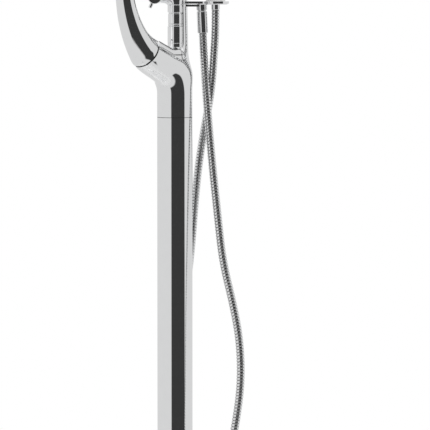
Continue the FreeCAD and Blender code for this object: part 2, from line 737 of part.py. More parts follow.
def make_aerator(tip, down):
    """Threaded ring in the spout's mouth, with a washer above and a holed insert inside."""
    top = tip - down * (AERATOR_L - AERATOR_LIP - AERATOR_WASHER_T)
    washer = rod(AERATOR_R - FIT, top - down * AERATOR_WASHER_T, top)
    washer = washer.cut(rod(AERATOR_R - AERATOR_WASHER_W, top - down * AERATOR_WASHER_T, top))
    lip = tip + down * AERATOR_LIP
    housing = rod(AERATOR_R, top, tip)
    housing = fuse([housing, rod(SPOUT_TIP_R - AERATOR_LIP_IN, tip, lip)])
    housing = housing.cut(rod(AERATOR_R - AERATOR_WALL, top, lip))
    insert_r = AERATOR_R - AERATOR_WALL - FIT
    insert = rod(insert_r, top, lip - down * AERATOR_INSERT_SINK)
    side = FORK_DIR.cross(UP)
    other = down.cross(side)
    holes = []
    count = int(insert_r / AERATOR_HOLE_PITCH)
    for i in range(-count, count + 1):
        for j in range(-count, count + 1):
            offset = side * (i * AERATOR_HOLE_PITCH) + other * (j * AERATOR_HOLE_PITCH)
            if offset.Length < insert_r - AERATOR_HOLE_MARGIN:
                holes.append(rod(AERATOR_HOLE_R, top + offset, lip + offset))
    insert = insert.cut(Part.makeCompound(holes))
    save("aerator_washer", washer)
    save("aerator_housing", housing)
    save("aerator_insert", insert)


# ---- Diverter post ----------------------------------------------------------
def make_post():
    z = POST_SEAT_Z
    bore = disc(POST_BORE_R, POST_SEAT_Z, TEE_TOP_Z, POST_POS)
    foot = turned([
        (0, z), (FOOT_BOTTOM_R, z), (FOOT_BOTTOM_R + FOOT_NECK_FLARE, z + FOOT_NECK_H),
        (POST_R - BARREL_EDGE, z + FOOT_H), (0, z + FOOT_H),
    ], POST_POS)
    z += FOOT_H
    barrel = turned([
        (0, z), (POST_R - BARREL_EDGE, z), (POST_R, z + BARREL_EDGE_H),
        (POST_R + BARREL_BULGE, z + BARREL_H / 2), (POST_R, z + BARREL_H - BARREL_EDGE_H),
        (POST_R - BARREL_EDGE, z + BARREL_H), (0, z + BARREL_H),
    ], POST_POS)
    z += BARREL_H
    band = turned([
        (0, z), (POST_RING_R - POST_EDGE, z), (POST_RING_R, z + POST_RING_H / 2),
        (POST_RING_R - POST_EDGE, z + POST_RING_H), (0, z + POST_RING_H),
    ], POST_POS)
    z += POST_RING_H
    sleeve = disc(SLEEVE_R, z, z + SLEEVE_H, POST_POS)
    z += SLEEVE_H
    collar = turned([
        (0, z), (GROOVE_R, z), (GROOVE_R, z + GROOVE_H), (POST_R - POST_EDGE, z + GROOVE_H),
        (POST_R, z + GROOVE_H + POST_EDGE), (POST_R, z + COLLAR_H), (0, z + COLLAR_H),
    ], POST_POS)
    z += COLLAR_H
    save("post_foot", foot.cut(bore))
    save("post_barrel", barrel.cut(bore))
    save("post_band", band.cut(bore))
    save("post_sleeve", sleeve.cut(bore))
    save("post_collar", collar.cut(bore))
    make_tee(z, bore)


def make_tee(bottom, bore):
    stand = disc(TEE_R, bottom, TEE_TOP_Z, POST_POS)
    root = POST_POS + UP * BRANCH_Z
    knob_axis = root - Vector(BRANCH_REACH, 0, 0)
    front = Vector(0, -1, 0)
    branch = cone(BRANCH_ROOT_R, BRANCH_END_R, root, knob_axis)
    face = knob_axis + front * BOSS_REACH
    back = knob_axis - front * BRANCH_END_R
    boss = rod(BOSS_R, back, face)
    body = fuse([stand, branch, boss])
    stem_back = face - front * STEM_BODY_L
    body = body.cut(bore)
    body = body.cut(rod(BRANCH_BORE_R, root, knob_axis))
    body = body.cut(rod(STEM_BODY_R + FIT, stem_back, face))
    cartridge = rod(STEM_BODY_R, stem_back, face)
    shaft_gap = STEM_R + FIT
    cartridge = cartridge.cut(rod(shaft_gap, face - front * (STEM_BODY_L - STEM_BODY_BACK), face))
    save("diverter_tee", body)
    save("diverter_cartridge", cartridge)
    make_knob(face, front)


def make_knob(face, front):
    """Round knob on its stem, with a short pin as a finger lever."""
    back = face + front * MOVE
    outer = back + front * KNOB_T
    stem_l = STEM_BODY_L - STEM_BODY_BACK - MOVE
    stem = rod(STEM_R, face - front * stem_l, back + front * STEM_TOP)
    knob = rod(KNOB_R, back, outer)
    rims = [edge for edge in knob.Edges if edge.Curve.TypeId == "Part::GeomCircle"]
    knob = knob.makeFillet(KNOB_EDGE_R, rims)
    knob = knob.cut(rod(STEM_R + FIT, back, back + front * STEM_TOP))
    angle = math.radians(KNOB_PIN_ANGLE)
    radial = Vector(math.cos(angle), 0, math.sin(angle))
    middle = back + front * (KNOB_T / 2)
    pin = rod(KNOB_PIN_R, middle + radial * (KNOB_R - KNOB_PIN_SINK),
              middle + radial * KNOB_PIN_TIP)
    tips = [edge for edge in pin.Edges if edge.Curve.TypeId == "Part::GeomCircle"
            and (edge.Curve.Center - middle).Length > KNOB_R]
    pin = pin.makeFillet(KNOB_PIN_ROUND, tips)
    knob = knob.cut(rod(KNOB_PIN_R + FIT, middle + radial * (KNOB_R - KNOB_PIN_SINK),
                        middle + radial * (KNOB_R + CUT_PAST)))
    screw_dir = radial * -1
    at = back + front * (STEM_TOP / 2)
    hole = rod(KNOB_SCREW_R + FIT, at + screw_dir * STEM_R, at + screw_dir * (KNOB_R + CUT_PAST))
    screw = rod(KNOB_SCREW_R, at + screw_dir * (STEM_R + FIT), at + screw_dir * (KNOB_R - KNOB_EDGE_R))
    save("diverter_stem", stem)
    save("diverter_knob", knob.cut(hole))
    save("diverter_pin", pin)
    save("diverter_grub_screw", screw)


# ---- Mixer ------------------------------------------------------------------
def make_mixer():
    bottom = RISER_TOP_Z
    top = bottom + MIXER_H
    front = disc(MIXER_HALF_W, bottom, top, POST_POS)
    rear = disc(MIXER_HALF_W, bottom, top, RISER_POS)
    along = (RISER_POS - POST_POS).normalize()
    side = along.cross(UP) * MIXER_HALF_W
    corners = [POST_POS + side, RISER_POS + side, RISER_POS - side, POST_POS - side]
    corners = [corner + UP * bottom for corner in corners]
    waist = Part.Face(Part.makePolygon(corners + [corners[0]])).extrude(UP * MIXER_H)
    body = fuse([front, rear, waist])
    seat = bottom + CARTRIDGE_FLOOR
    body = body.cut(disc(CARTRIDGE_R + FIT, seat, top, MIXER_POS))
    for offset in (-PIPE_PITCH / 2, PIPE_PITCH / 2):
        at = RISER_POS + Vector(offset, 0, 0)
        body = body.cut(disc(PIPE_R + FIT, bottom, bottom + PIPE_PLUG_L, at))
        body = body.cut(disc(MIXER_PORT_R, bottom, seat + CUT_PAST, at))
    body = body.cut(disc(MIXER_FEED_R, bottom, seat + CUT_PAST, POST_POS))
    cartridge_top = seat + CARTRIDGE_L
    cartridge = disc(CARTRIDGE_R, seat, cartridge_top, MIXER_POS)
    cartridge = cartridge.cut(disc(STEM_HOLE_R, cartridge_top - CARTRIDGE_STEM_L, cartridge_top, MIXER_POS))
    nut_top = cartridge_top + CARTRIDGE_NUT_H
    nut = ring(CARTRIDGE_NUT_R, CARTRIDGE_NUT_BORE_R, cartridge_top, nut_top, MIXER_POS)
    cover_top = top + MIXER_COVER_H
    cover_in = MIXER_COVER_R - MIXER_COVER_WALL
    cover = turned([
        (cover_in, top), (MIXER_COVER_R, top), (MIXER_COVER_R, cover_top - MIXER_COVER_WALL),
        (cover_in, cover_top), (MIXER_COVER_BORE_R, cover_top),
        (MIXER_COVER_BORE_R, cover_top - MIXER_COVER_WALL), (cover_in, cover_top - MIXER_COVER_WALL),
    ], MIXER_POS)
    save("mixer_body", body)
    save("mixer_cartridge", cartridge)
    save("cartridge_nut", nut)
    save("mixer_cover", cover)
    make_lever(cartridge_top, cover_top)


def make_lever(cartridge_top, cover_top):
    """Turning cap on the cartridge's stem, with a lever that tips up in its slot."""
    bottom = cover_top + MOVE
    top = bottom + CAP_H
    cap = turned([
        (0, bottom), (CAP_R, bottom), (CAP_R, bottom + CAP_SHOULDER_H),
        (CAP_SHOULDER_R, top - CAP_EDGE), (CAP_TOP_R, top), (0, top),
    ], MIXER_POS)
    stem = disc(CAP_STEM_R, cartridge_top - CARTRIDGE_STEM_L + MOVE, bottom, MIXER_POS)
    cap = fuse([cap, stem])
    slot_floor = bottom + CAP_SLOT_FLOOR
    slot_l = CUT_PAST + CAP_R + LEVER_HUB_R + CAP_SLOT_BACK
    slot_front = MIXER_POS.y - CAP_R - CUT_PAST
    slot = Part.makeBox(CAP_SLOT_W, slot_l, CAP_H,
                        Vector(MIXER_POS.x - CAP_SLOT_W / 2, slot_front, slot_floor))
    cap = cap.cut(slot)
    pivot = MIXER_POS + UP * (bottom + PIVOT_RISE)
    half = Vector(PIVOT_HALF_L, 0, 0)
    pin_hole = rod(PIVOT_R + FIT, pivot - half, pivot + half)
    pin = rod(PIVOT_R, pivot - half + Vector(FIT, 0, 0), pivot + half - Vector(FIT, 0, 0))
    cap = cap.cut(pin_hole)
    front = Vector(0, -1, 0)
    hub_half = Vector(CAP_SLOT_W / 2 - MOVE, 0, 0)
    hub = rod(LEVER_HUB_R, pivot - hub_half, pivot + hub_half)
    tip = pivot + front * LEVER_REACH
    arm = cone(LEVER_R, LEVER_TIP_R, pivot, tip)
    nose = Part.makeSphere(LEVER_TIP_R, tip)
    lever = fuse([hub, arm, nose]).cut(rod(PIVOT_R + FIT, pivot - hub_half, pivot + hub_half))
    save("mixer_cap", cap)
    save("lever_pin", pin)
    save("mixer_lever", lever)


# ---- Bracket, outlet and holder ---------------------------------------------
def make_bracket():
    holder = Vector(HOLDER_X, RISER_Y, 0)
    bevel_top = PLATE_BOTTOM_Z + PLATE_BEVEL_H
    bevel = cone(HOLDER_END_R - PLATE_BEVEL, HOLDER_END_R, holder + UP * PLATE_BOTTOM_Z,
                 holder + UP * bevel_top)
    end = disc(HOLDER_END_R, bevel_top, PLATE_TOP_Z, holder).fuse(bevel)
    length = HOLDER_X - RISER_X
    strip = Part.makeBox(length, 2 * PLATE_HALF_W, PLATE_T,
                         Vector(RISER_X, RISER_Y - PLATE_HALF_W, PLATE_BOTTOM_Z))
    plate = fuse([end, strip])
    riser_hole = disc(RISER_R, PLATE_BOTTOM_Z, PLATE_TOP_Z, RISER_POS)
    plate = plate.cut(riser_hole)
    plate = plate.cut(disc(LINER_R + FIT, PLATE_BOTTOM_Z, PLATE_TOP_Z, holder))
    arm_top = PLATE_BOTTOM_Z
    arm_bottom = arm_top - ARM_DROP
    mouth_top = Vector(OUTLET_X, RISER_Y, arm_top)
    lean = math.radians(OUTLET_LEAN)
    down = Vector(math.sin(lean), 0, -math.cos(lean))
    arm = Part.makeBox(OUTLET_X - RISER_X, 2 * ARM_HALF_W, ARM_DROP,
                       Vector(RISER_X, RISER_Y - ARM_HALF_W, arm_bottom))
    face_depth = (arm_top - OUTLET_FACE_Z) / math.cos(lean)
    mouth = rod(OUTLET_R, mouth_top - down * CUT_PAST, mouth_top + down * face_depth)
    arm = fuse([arm, mouth]).cut(disc(RISER_R, arm_bottom, arm_top, RISER_POS))
    above = Part.makeBox(BLOCK, BLOCK, PLATE_T, Vector(RISER_X, RISER_Y - BLOCK / 2, arm_top))
    face = mouth_top + down * face_depth
    spigot = rod(SPIGOT_R, face - down * CUT_PAST, face + down * SPIGOT_L)
    arm = fuse([arm.cut(above), spigot.cut(above)])
    arm = arm.cut(rod(OUTLET_BORE_R, mouth_top + down * OUTLET_ROOF, face + down * SPIGOT_L))
    washer = rod(WASHER_R, face, face + down * WASHER_T)
    washer = washer.cut(rod(SPIGOT_R + FIT, face, face + down * WASHER_T))
    nut_top = face + down * WASHER_T
    nut_end = nut_top + down * HOSE_NUT_L
    nut = cone(HOSE_NUT_R, HOSE_NUT_END_R, nut_top, nut_end)
    rims = [edge for edge in nut.Edges if edge.Curve.TypeId == "Part::GeomCircle"
            and (edge.Curve.Center - nut_end).Length < 0.1]
    nut = nut.makeFillet(HOSE_NUT_ROUND, rims)
    nut = nut.cut(rod(SPIGOT_R + FIT, nut_top, nut_top + down * (SPIGOT_L - WASHER_T)))
    nut = nut.cut(rod(HOSE_BORE_R, nut_top, nut_end))
    flange_top = PLATE_TOP_Z + LINER_FLANGE_T
    liner = turned([
        (CONE_BOTTOM_R, PLATE_BOTTOM_Z + LINER_LIFT), (LINER_R, PLATE_BOTTOM_Z + LINER_LIFT),
        (LINER_R, PLATE_TOP_Z), (LINER_FLANGE_R, PLATE_TOP_Z), (LINER_FLANGE_R, flange_top),
        (LINER_R, flange_top + LINER_TAPER), (LINER_R, PLATE_TOP_Z + LINER_H),
        (CONE_BOTTOM_R, PLATE_TOP_Z + LINER_H),
    ], holder)
    liner = liner.cut(cone_space(MOVE))
    screws = []
    for x in PLATE_SCREW_X:
        at = Vector(x, RISER_Y, 0)
        head_z = PLATE_TOP_Z - PLATE_SCREW_HEAD_H
        head = disc(PLATE_SCREW_HEAD_R, head_z, PLATE_TOP_Z, at)
        shank = disc(PLATE_SCREW_R, PLATE_TOP_Z - PLATE_SCREW_L, PLATE_TOP_Z, at)
        screws.append(fuse([head, shank]))
        shank_hole = disc(PLATE_SCREW_R + FIT, PLATE_TOP_Z - PLATE_SCREW_L, PLATE_TOP_Z, at)
        plate = plate.cut(disc(PLATE_SCREW_HEAD_R + FIT, head_z, PLATE_TOP_Z, at)).cut(shank_hole)
        arm = arm.cut(shank_hole)
    save("plate_screws", Part.makeCompound(screws))
    save("holder_plate", plate)
    save("outlet_arm", arm)
    save("outlet_washer", washer)
    save("hose_nut", nut)
    save("holder_liner", liner)
    print("hose leaves the nut at", nut_end, "towards", down)


# ---- Hand shower ------------------------------------------------------------
def cone_space(gap):
    """The handset's cone, grown by a gap."""
    holder = Vector(HOLDER_X, RISER_Y, 0)
    bottom = holder + UP * CONE_BOTTOM_Z
    return cone(CONE_BOTTOM_R + gap, CONE_TOP_R + gap, bottom, bottom + UP * CONE_L)


def make_handset():
    holder = Vector(HOLDER_X, RISER_Y, 0)
    cone_top = CONE_BOTTOM_Z + CONE_L
    ferrule_top = CONE_BOTTOM_Z + FERRULE_SINK
    tail_bottom = cone_top - TAIL_L
    floor_z = cone_top + HANDLE_FLOOR
    handle_top = cone_top + HANDLE_L
    ferrule = ring(FERRULE_R, HOSE_BORE_R, FERRULE_BOTTOM_Z, ferrule_top, holder)
    nut = cone_space(0)
    nut = nut.cut(disc(FERRULE_R + FIT, CONE_BOTTOM_Z, ferrule_top, holder))
    nut = nut.cut(disc(CONE_BORE_R, ferrule_top, cone_top, holder))
    tail_r = CONE_BORE_R - FIT
    washer = ring(tail_r, HOSE_BORE_R, tail_bottom - HANDSET_WASHER_T, tail_bottom, holder)
    tail = ring(tail_r, TAIL_BORE_R, tail_bottom, cone_top, holder)
    outer = turned([
        (0, cone_top), (HANDLE_R - HANDLE_EDGE, cone_top), (HANDLE_R, cone_top + HANDLE_EDGE),
        (HANDLE_TOP_R, handle_top), (0, handle_top),
    ], holder)
    hollow = turned([
        (0, floor_z), (HANDLE_R - HANDLE_WALL, floor_z),
        (HANDLE_TOP_R - HANDLE_WALL, handle_top), (0, handle_top),
    ], holder)
    bore = disc(TAIL_BORE_R, cone_top, floor_z, holder)
    check = ring(HANDSET_CHECK_R, HANDSET_CHECK_BORE_R, floor_z, floor_z + HANDSET_CHECK_L, holder)
    window_bottom = handle_top - SPRAY_TOP_MARGIN - SPRAY_L
    front_y = RISER_Y - HANDLE_TOP_R
    plate_front_y = front_y + SPRAY_SINK
    plate_back_y = front_y + SPRAY_DEPTH
    window = spray_block(window_bottom, front_y - CUT_PAST, plate_back_y, 0)
    handle = fuse([outer.cut(hollow).cut(bore), tail]).cut(window)
    face = spray_block(window_bottom, plate_front_y, plate_back_y, FIT)
    holes = []
    nozzles = []
    for row in range(NOZZLE_ROWS):
        z = window_bottom + SPRAY_L / 2 + (row - (NOZZLE_ROWS - 1) / 2) * NOZZLE_ROW_PITCH
        for column in range(NOZZLE_COLUMNS):
            x = HOLDER_X + (column - (NOZZLE_COLUMNS - 1) / 2) * NOZZLE_PITCH
            inner = Vector(x, plate_back_y, z)
            outer_end = Vector(x, plate_front_y - NOZZLE_PROUD, z)
            holes.append(rod(NOZZLE_R + FIT, inner, outer_end))
            nozzles.append(rod(NOZZLE_R, inner, outer_end))
    face = face.cut(Part.makeCompound(holes))
    cap = turned([
        (0, handle_top), (HANDLE_TOP_R, handle_top), (HANDLE_TOP_R, handle_top + HANDLE_CAP_EDGE_H),
        (HANDLE_CAP_TOP_R, handle_top + HANDLE_CAP_H), (0, handle_top + HANDLE_CAP_H),
    ], holder)
    save("hose_ferrule", ferrule)
    save("handset_cone_nut", nut)
    save("handset_washer", washer)
    save("handset_check_valve", check)
    save("handset_body", handle)
    save("handset_spray_plate", face)
    save("handset_nozzles", Part.makeCompound(nozzles))
    save("handset_cap", cap)


def spray_block(bottom, front_y, back_y, gap):
    """Upright slab with round ends, the outline of the spray plate."""
    half = SPRAY_W / 2 - gap
    low = Vector(HOLDER_X, front_y, bottom + SPRAY_W / 2)
    high = Vector(HOLDER_X, front_y, bottom + SPRAY_L - SPRAY_W / 2)
    depth = Vector(0, back_y - front_y, 0)
    slab = Part.makeBox(2 * half, depth.y, high.z - low.z, Vector(HOLDER_X - half, front_y, low.z))
    return fuse([slab, rod(half, low, low + depth), rod(half, high, high + depth)])


# ---- Hose -------------------------------------------------------------------
def make_hose():
    points = [Vector(*point) for point in HOSE_ROUTE]
    path, radii = rounded_route(points)
    length = path.Length
    print("hose length", round(length, 1), "arc radii", [round(r) for r in radii])
    straight = 2 * HOSE_R
    pitch = (length - 2 * straight) / HOSE_RIBS
    outer_stops = [(0, HOSE_VALLEY_R)]
    inner_stops = [0]
    for i in range(HOSE_RIBS):
        start = straight + i * pitch
        for share, radius in HOSE_RIB:
            outer_stops.append((start + share * pitch, radius))
        inner_stops.append(start + pitch / 2)
    outer_stops.append((length, HOSE_VALLEY_R))
    inner_stops.append(length)
    outer = [(*at_length(path, s), r) for s, r in outer_stops]
    inner = [(*at_length(path, s), HOSE_BORE_R) for s in inner_stops]
    hose = loft(outer, HOSE_STEADY).cut(loft(inner, HOSE_STEADY))
    print("hose valid", hose.isValid(), "volume", round(hose.Volume))
    save("shower_hose", hose)


def at_length(path, distance):
    """Point and direction at this distance along a wire."""
    for edge in path.OrderedEdges:
        if distance <= edge.Length + 1e-6:
            where = edge.getParameterByLength(min(distance, edge.Length))
            return edge.valueAt(where), edge.tangentAt(where)
        distance -= edge.Length
    last = path.OrderedEdges[-1]
    return last.valueAt(last.LastParameter), last.tangentAt(last.LastParameter)


os.makedirs("parts", exist_ok=True)
make_column(make_base())
make_inlets()
make_spout(make_fork())
make_joint()
make_post()
make_mixer()
make_bracket()
make_handset()
make_hose()
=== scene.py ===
"""Looks of the floor standing bath filler, in metres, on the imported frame.

Lengths below are written in millimetres and turned into metres by mm() and MM.
"""
import json
import math

import bmesh
import bpy
import numpy as np
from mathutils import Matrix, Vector


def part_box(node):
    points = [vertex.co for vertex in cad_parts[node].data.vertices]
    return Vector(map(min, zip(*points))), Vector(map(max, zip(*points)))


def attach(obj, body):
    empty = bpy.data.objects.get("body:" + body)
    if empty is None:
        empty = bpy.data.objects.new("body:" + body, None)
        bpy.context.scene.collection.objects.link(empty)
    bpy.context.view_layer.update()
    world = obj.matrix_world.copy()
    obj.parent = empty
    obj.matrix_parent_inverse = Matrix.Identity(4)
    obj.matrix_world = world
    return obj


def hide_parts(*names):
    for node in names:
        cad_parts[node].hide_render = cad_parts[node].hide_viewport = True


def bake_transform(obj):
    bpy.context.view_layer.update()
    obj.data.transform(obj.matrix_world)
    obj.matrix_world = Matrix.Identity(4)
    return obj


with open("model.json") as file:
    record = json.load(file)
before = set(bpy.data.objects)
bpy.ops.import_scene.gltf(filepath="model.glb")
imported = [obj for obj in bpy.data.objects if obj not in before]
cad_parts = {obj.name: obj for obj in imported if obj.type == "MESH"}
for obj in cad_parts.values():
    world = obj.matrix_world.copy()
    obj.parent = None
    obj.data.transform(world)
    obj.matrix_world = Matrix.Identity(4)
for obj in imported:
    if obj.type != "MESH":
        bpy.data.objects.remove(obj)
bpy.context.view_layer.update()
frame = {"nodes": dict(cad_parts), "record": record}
MM = 0.001
UP = Vector((0, 0, 1))


def mm(x, y, z):
    return Vector((x, y, z)) * MM


# ---- Camera: a long lens, a little above the middle of the picture ----------
CAMERA_AIM = mm(68.3, 0, 586.5)
CAMERA_DISTANCE = 6.0
CAMERA_ELEVATION = math.radians(4.0)
PICTURE_WIDTH = 0.731          # what the picture spans at the column, in metres
SENSOR = 36.0
CLIP_END = 50.0


def make_camera():
    data = bpy.data.cameras.new("camera")
    data.sensor_width = SENSOR
    data.lens = SENSOR * CAMERA_DISTANCE / PICTURE_WIDTH
    data.clip_end = CLIP_END
    camera = bpy.data.objects.new("camera", data)
    bpy.context.collection.objects.link(camera)
    back = Vector((0, -math.cos(CAMERA_ELEVATION), math.sin(CAMERA_ELEVATION)))
    camera.location = CAMERA_AIM + back * CAMERA_DISTANCE
    camera.rotation_euler = (math.pi / 2 - CAMERA_ELEVATION, 0, 0)
    bpy.context.scene.camera = camera


make_camera()


# ---- Materials --------------------------------------------------------------
NOISE_DETAIL = 3.0
NOISE_LOW, NOISE_HIGH = 0.3, 0.7      # the noise's usual range, where a ramp starts and ends
BUMP_DEPTH = 0.2 * MM


class Nodes:
    """Short names for building a node tree."""

    def __init__(self, tree):
        self.tree = tree
        tree.nodes.clear()

    def add(self, kind, inputs=None, **settings):
        node = self.tree.nodes.new(kind)
        for name, value in settings.items():
            setattr(node, name, value)
        for name, value in (inputs or {}).items():
            if isinstance(value, bpy.types.NodeSocket):
                self.tree.links.new(value, node.inputs[name])
            else:
                node.inputs[name].default_value = value
        return node

    def maths(self, operation, a, b=0.0):
        node = self.add("ShaderNodeMath", {0: a, 1: b}, operation=operation)
        return node.outputs[0]

    def noise(self, scale):
        place = self.add("ShaderNodeTexCoord").outputs["Object"]
        node = self.add("ShaderNodeTexNoise",
                        {"Vector": place, "Scale": scale, "Detail": NOISE_DETAIL})
        return node.outputs["Fac"]

    def fade(self, value, start, end):
        """0 up to the start, 1 from the end on, and a soft step between."""
        node = self.add("ShaderNodeMapRange", {"Value": value, "From Min": start, "From Max": end},
                        interpolation_type="SMOOTHSTEP")
        return node.outputs[0]

    def blend(self, factor, a, b):
        """Mixes two colours, each a socket or a plain (r, g, b)."""
        node = self.add("ShaderNodeMix", data_type="RGBA")
        self.tree.links.new(factor, node.inputs[0])
        for number, value in ((6, a), (7, b)):      # the Mix node's two colour sockets
            if isinstance(value, bpy.types.NodeSocket):
                self.tree.links.new(value, node.inputs[number])
            else:
                node.inputs[number].default_value = (*value, 1)
        return node.outputs[2]

    def ramp(self, value, stops):
        node = self.add("ShaderNodeValToRGB", {"Fac": value})
        ramp = node.color_ramp
        while len(ramp.elements) < len(stops):
            ramp.elements.new(0.5)
        for element, (place, colour) in zip(ramp.elements, stops):
            element.position = place
            element.color = (*colour, 1)
        return node.outputs["Color"]


def grey(level):
    return (level, level, level)


def material(name, colour, metallic, rough_low, rough_high, noise_scale, bump=0.0, bump_scale=400.0,
             shade=0.06, **sockets):
    """A procedural finish: noise moves its colour and roughness a little, and may bump it."""
    made = bpy.data.materials.new(name)
    made.use_nodes = True
    n = Nodes(made.node_tree)
    cloud = n.noise(noise_scale)
    dark = tuple(c * (1 - shade) for c in colour)
    tint = n.ramp(cloud, [(NOISE_LOW, dark), (NOISE_HIGH, colour)])
    rough = n.add("ShaderNodeMapRange", {"Value": cloud, "To Min": rough_low, "To Max": rough_high})
    inputs = {"Base Color": tint, "Metallic": metallic, "Roughness": rough.outputs[0], **sockets}
    if bump:
        grain = n.noise(bump_scale)
        bumped = n.add("ShaderNodeBump", {"Height": grain, "Strength": bump,
                                           "Distance": BUMP_DEPTH})
        inputs["Normal"] = bumped.outputs[0]
    shader = n.add("ShaderNodeBsdfPrincipled", inputs)
    n.add("ShaderNodeOutputMaterial", {"Surface": shader.outputs[0]})
    return made


CHROME = material("chrome", (0.93, 0.935, 0.94), 1.0, 0.015, 0.05, 60.0, shade=0.015)
HOSE_CHROME = material("hose_chrome", (0.92, 0.925, 0.93), 1.0, 0.02, 0.05, 90.0, shade=0.04)
# Darker grey for the hose's grooves: painted shade in the recess between the strip's turns.
GROOVE_SHADE = material("groove", (0.40, 0.40, 0.40), 1.0, 0.3, 0.45, 150.0, shade=0.3)
# Dark grey for the thin tubes along the saddle: painted shade in its creases.
SADDLE_SHADE = material("saddle_painted_shade", (0.22, 0.22, 0.22), 1.0, 0.12, 0.2, 150.0, shade=0.2)
RUBBER = material("seal_rubber", (0.018, 0.018, 0.018), 0.0, 0.45, 0.65, 300.0, bump=0.3, shade=0.3)
BRASS = material("brass", (0.70, 0.52, 0.26), 1.0, 0.22, 0.38, 200.0, bump=0.15, shade=0.15)
STEEL = material("steel", (0.55, 0.56, 0.57), 1.0, 0.25, 0.4, 250.0, bump=0.2, shade=0.12)
INNER_PLASTIC = material("inner_plastic", (0.80, 0.80, 0.79), 0.0, 0.4, 0.55, 200.0, bump=0.1)
NOZZLE_RUBBER = material("nozzle_rubber", (0.20, 0.205, 0.21), 0.0, 0.5, 0.65, 500.0, bump=0.2)
SPRAY_FACE = material("spray_face", (0.74, 0.75, 0.76), 0.0, 0.12, 0.22, 120.0,
                      **{"Coat Weight": 0.5, "Coat Roughness": 0.05})

SLOT_MATERIALS = {
    "chrome": CHROME, "seal_rubber": RUBBER, "brass": BRASS, "steel": STEEL,
    "inner_plastic": INNER_PLASTIC, "nozzle_rubber": NOZZLE_RUBBER, "spray_face": SPRAY_FACE,
}


# ---- Meshes -----------------------------------------------------------------
SHARP = 28            # degrees: edges that turn more than this are shaded as edges


def add_piece(name, verts, faces, finish, body="filler", nodes=(), sharp=SHARP):
    """A mesh in the row frame that rides on a body and may stand for CAD nodes."""
    mesh = bpy.data.meshes.new(name)
    mesh.from_pydata([tuple(v) for v in verts], [], faces)
    mesh.update()
    return finish_piece(name, mesh, finish, body, nodes, sharp)


def finish_piece(name, mesh, finish, body, nodes, sharp):
    """Makes a mesh a piece."""
    obj = bpy.data.objects.new(name, mesh)
    bpy.context.collection.objects.link(obj)
    mesh.polygons.foreach_set("use_smooth", [True] * len(mesh.polygons))
    if sharp:
        mesh.set_sharp_from_angle(angle=math.radians(sharp))
    mesh.materials.clear()
    mesh.materials.append(finish)
    if body:
        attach(obj, body)
    if nodes:
        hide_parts(*nodes)
    return obj


SUPPORT = 0.15        # extra rings this far beside a rounded edge keep the flats flat, in mm
SUPPORT_SHARE = 0.05  # or this share of the edge's own run, where that is less
ARC_SHARE = 0.42      # an arc takes up at most this share of the runs beside it
ARC_STEPS = 5
LEAST_TURN = 0.05     # radians: a corner that turns less stays as it is
LATHE_AROUND = 96


def rounded(corners, radius):
    """An outline of (r, z) corners in mm with each inner corner turned into an arc."""
    points = [Vector(c) for c in corners]
    made = [points[0]]
    for before, corner, after in zip(points, points[1:], points[2:]):
        into, out = (corner - before), (after - corner)
        turn = into.angle(out)
        if turn < LEAST_TURN:
            made.append(corner)
            continue
        reach = min(radius * math.tan(turn / 2), into.length * ARC_SHARE, out.length * ARC_SHARE)
        start, end = corner - into.normalized() * reach, corner + out.normalized() * reach
        beside = min(SUPPORT, into.length * SUPPORT_SHARE, out.length * SUPPORT_SHARE)
        made.append(start - into.normalized() * beside)
        for i in range(ARC_STEPS + 1):
            t = i / ARC_STEPS
            made.append(start * (1 - t) ** 2 + corner * (2 * t * (1 - t)) + end * t ** 2)
        made.append(end + out.normalized() * beside)
    return made + [points[-1]]


def lathe(name, corners, radius, centre, axis=UP, **piece):
    """Turns (radius, height) corners in mm, rounded, about an axis through centre in metres."""
    turn = axis.to_track_quat("Z", "Y").to_matrix()
    verts, rings = [], []
    for r, z in rounded(corners, radius):
        if r < 1e-4:
            rings.append([len(verts)])
            verts.append(centre + turn @ mm(0, 0, z))
            continue
        rings.append(list(range(len(verts), len(verts) + LATHE_AROUND)))
        for k in range(LATHE_AROUND):
            a = 2 * math.pi * k / LATHE_AROUND
            verts.append(centre + turn @ mm(r * math.cos(a), r * math.sin(a), z))
    return add_piece(name, verts, ring_faces(rings), CHROME, **piece)


def slab(name, outline, corners, radius, base_z, hole=None, **piece):
    """A flat piece: corners are (inset, height) in mm, applied to a closed outline of (x, y).

    A hole is (its centre, its radius), right through.
    """
    loop = np.array(outline)
    along = np.roll(loop, -1, axis=0) - np.roll(loop, 1, axis=0)
    outward = np.stack([along[:, 1], -along[:, 0]], axis=1)
    outward /= np.linalg.norm(outward, axis=1)[:, None]
    count = len(loop)
    profile = rounded(corners, radius)
    verts, rings = [], []
    for inset, z in profile:
        rings.append(list(range(len(verts), len(verts) + count)))
        verts += [mm(x, y, base_z + z) for x, y in loop - outward * inset]
    faces = ring_faces(rings)
    if hole is None:
        faces += [tuple(reversed(rings[0])), tuple(rings[-1])]
    else:
        centre, r = hole
        rim = loop - centre
        rim = centre + rim * (r / np.linalg.norm(rim, axis=1))[:, None]
        inner = []
        for z in (profile[-1][1], profile[0][1]):
            inner.append(list(range(len(verts), len(verts) + count)))
            verts += [mm(x, y, base_z + z) for x, y in rim]
        faces += ring_faces([rings[-1]] + inner + [rings[0]])
    return add_piece(name, verts, faces, CHROME, **piece)


def ring_faces(rings):
    """Quads between rings that follow each other; a ring of one vertex is a pole."""
    faces = []
    for low, high in zip(rings, rings[1:]):
        count = max(len(low), len(high))
        for k in range(count):
            n = (k + 1) % count
            if len(low) == 1 and len(high) > 1:
                faces.append((low[0], high[n], high[k]))
            elif len(high) == 1 and len(low) > 1:
                faces.append((low[k], low[n], high[0]))
            elif len(low) > 1:
                faces.append((low[k], low[n], high[n], high[k]))
    return faces


def foot_of(node):
    """Bottom centre, in metres, of an upright round node."""
    lo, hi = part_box(node)
    return Vector(((lo.x + hi.x) / 2, (lo.y + hi.y) / 2, lo.z))


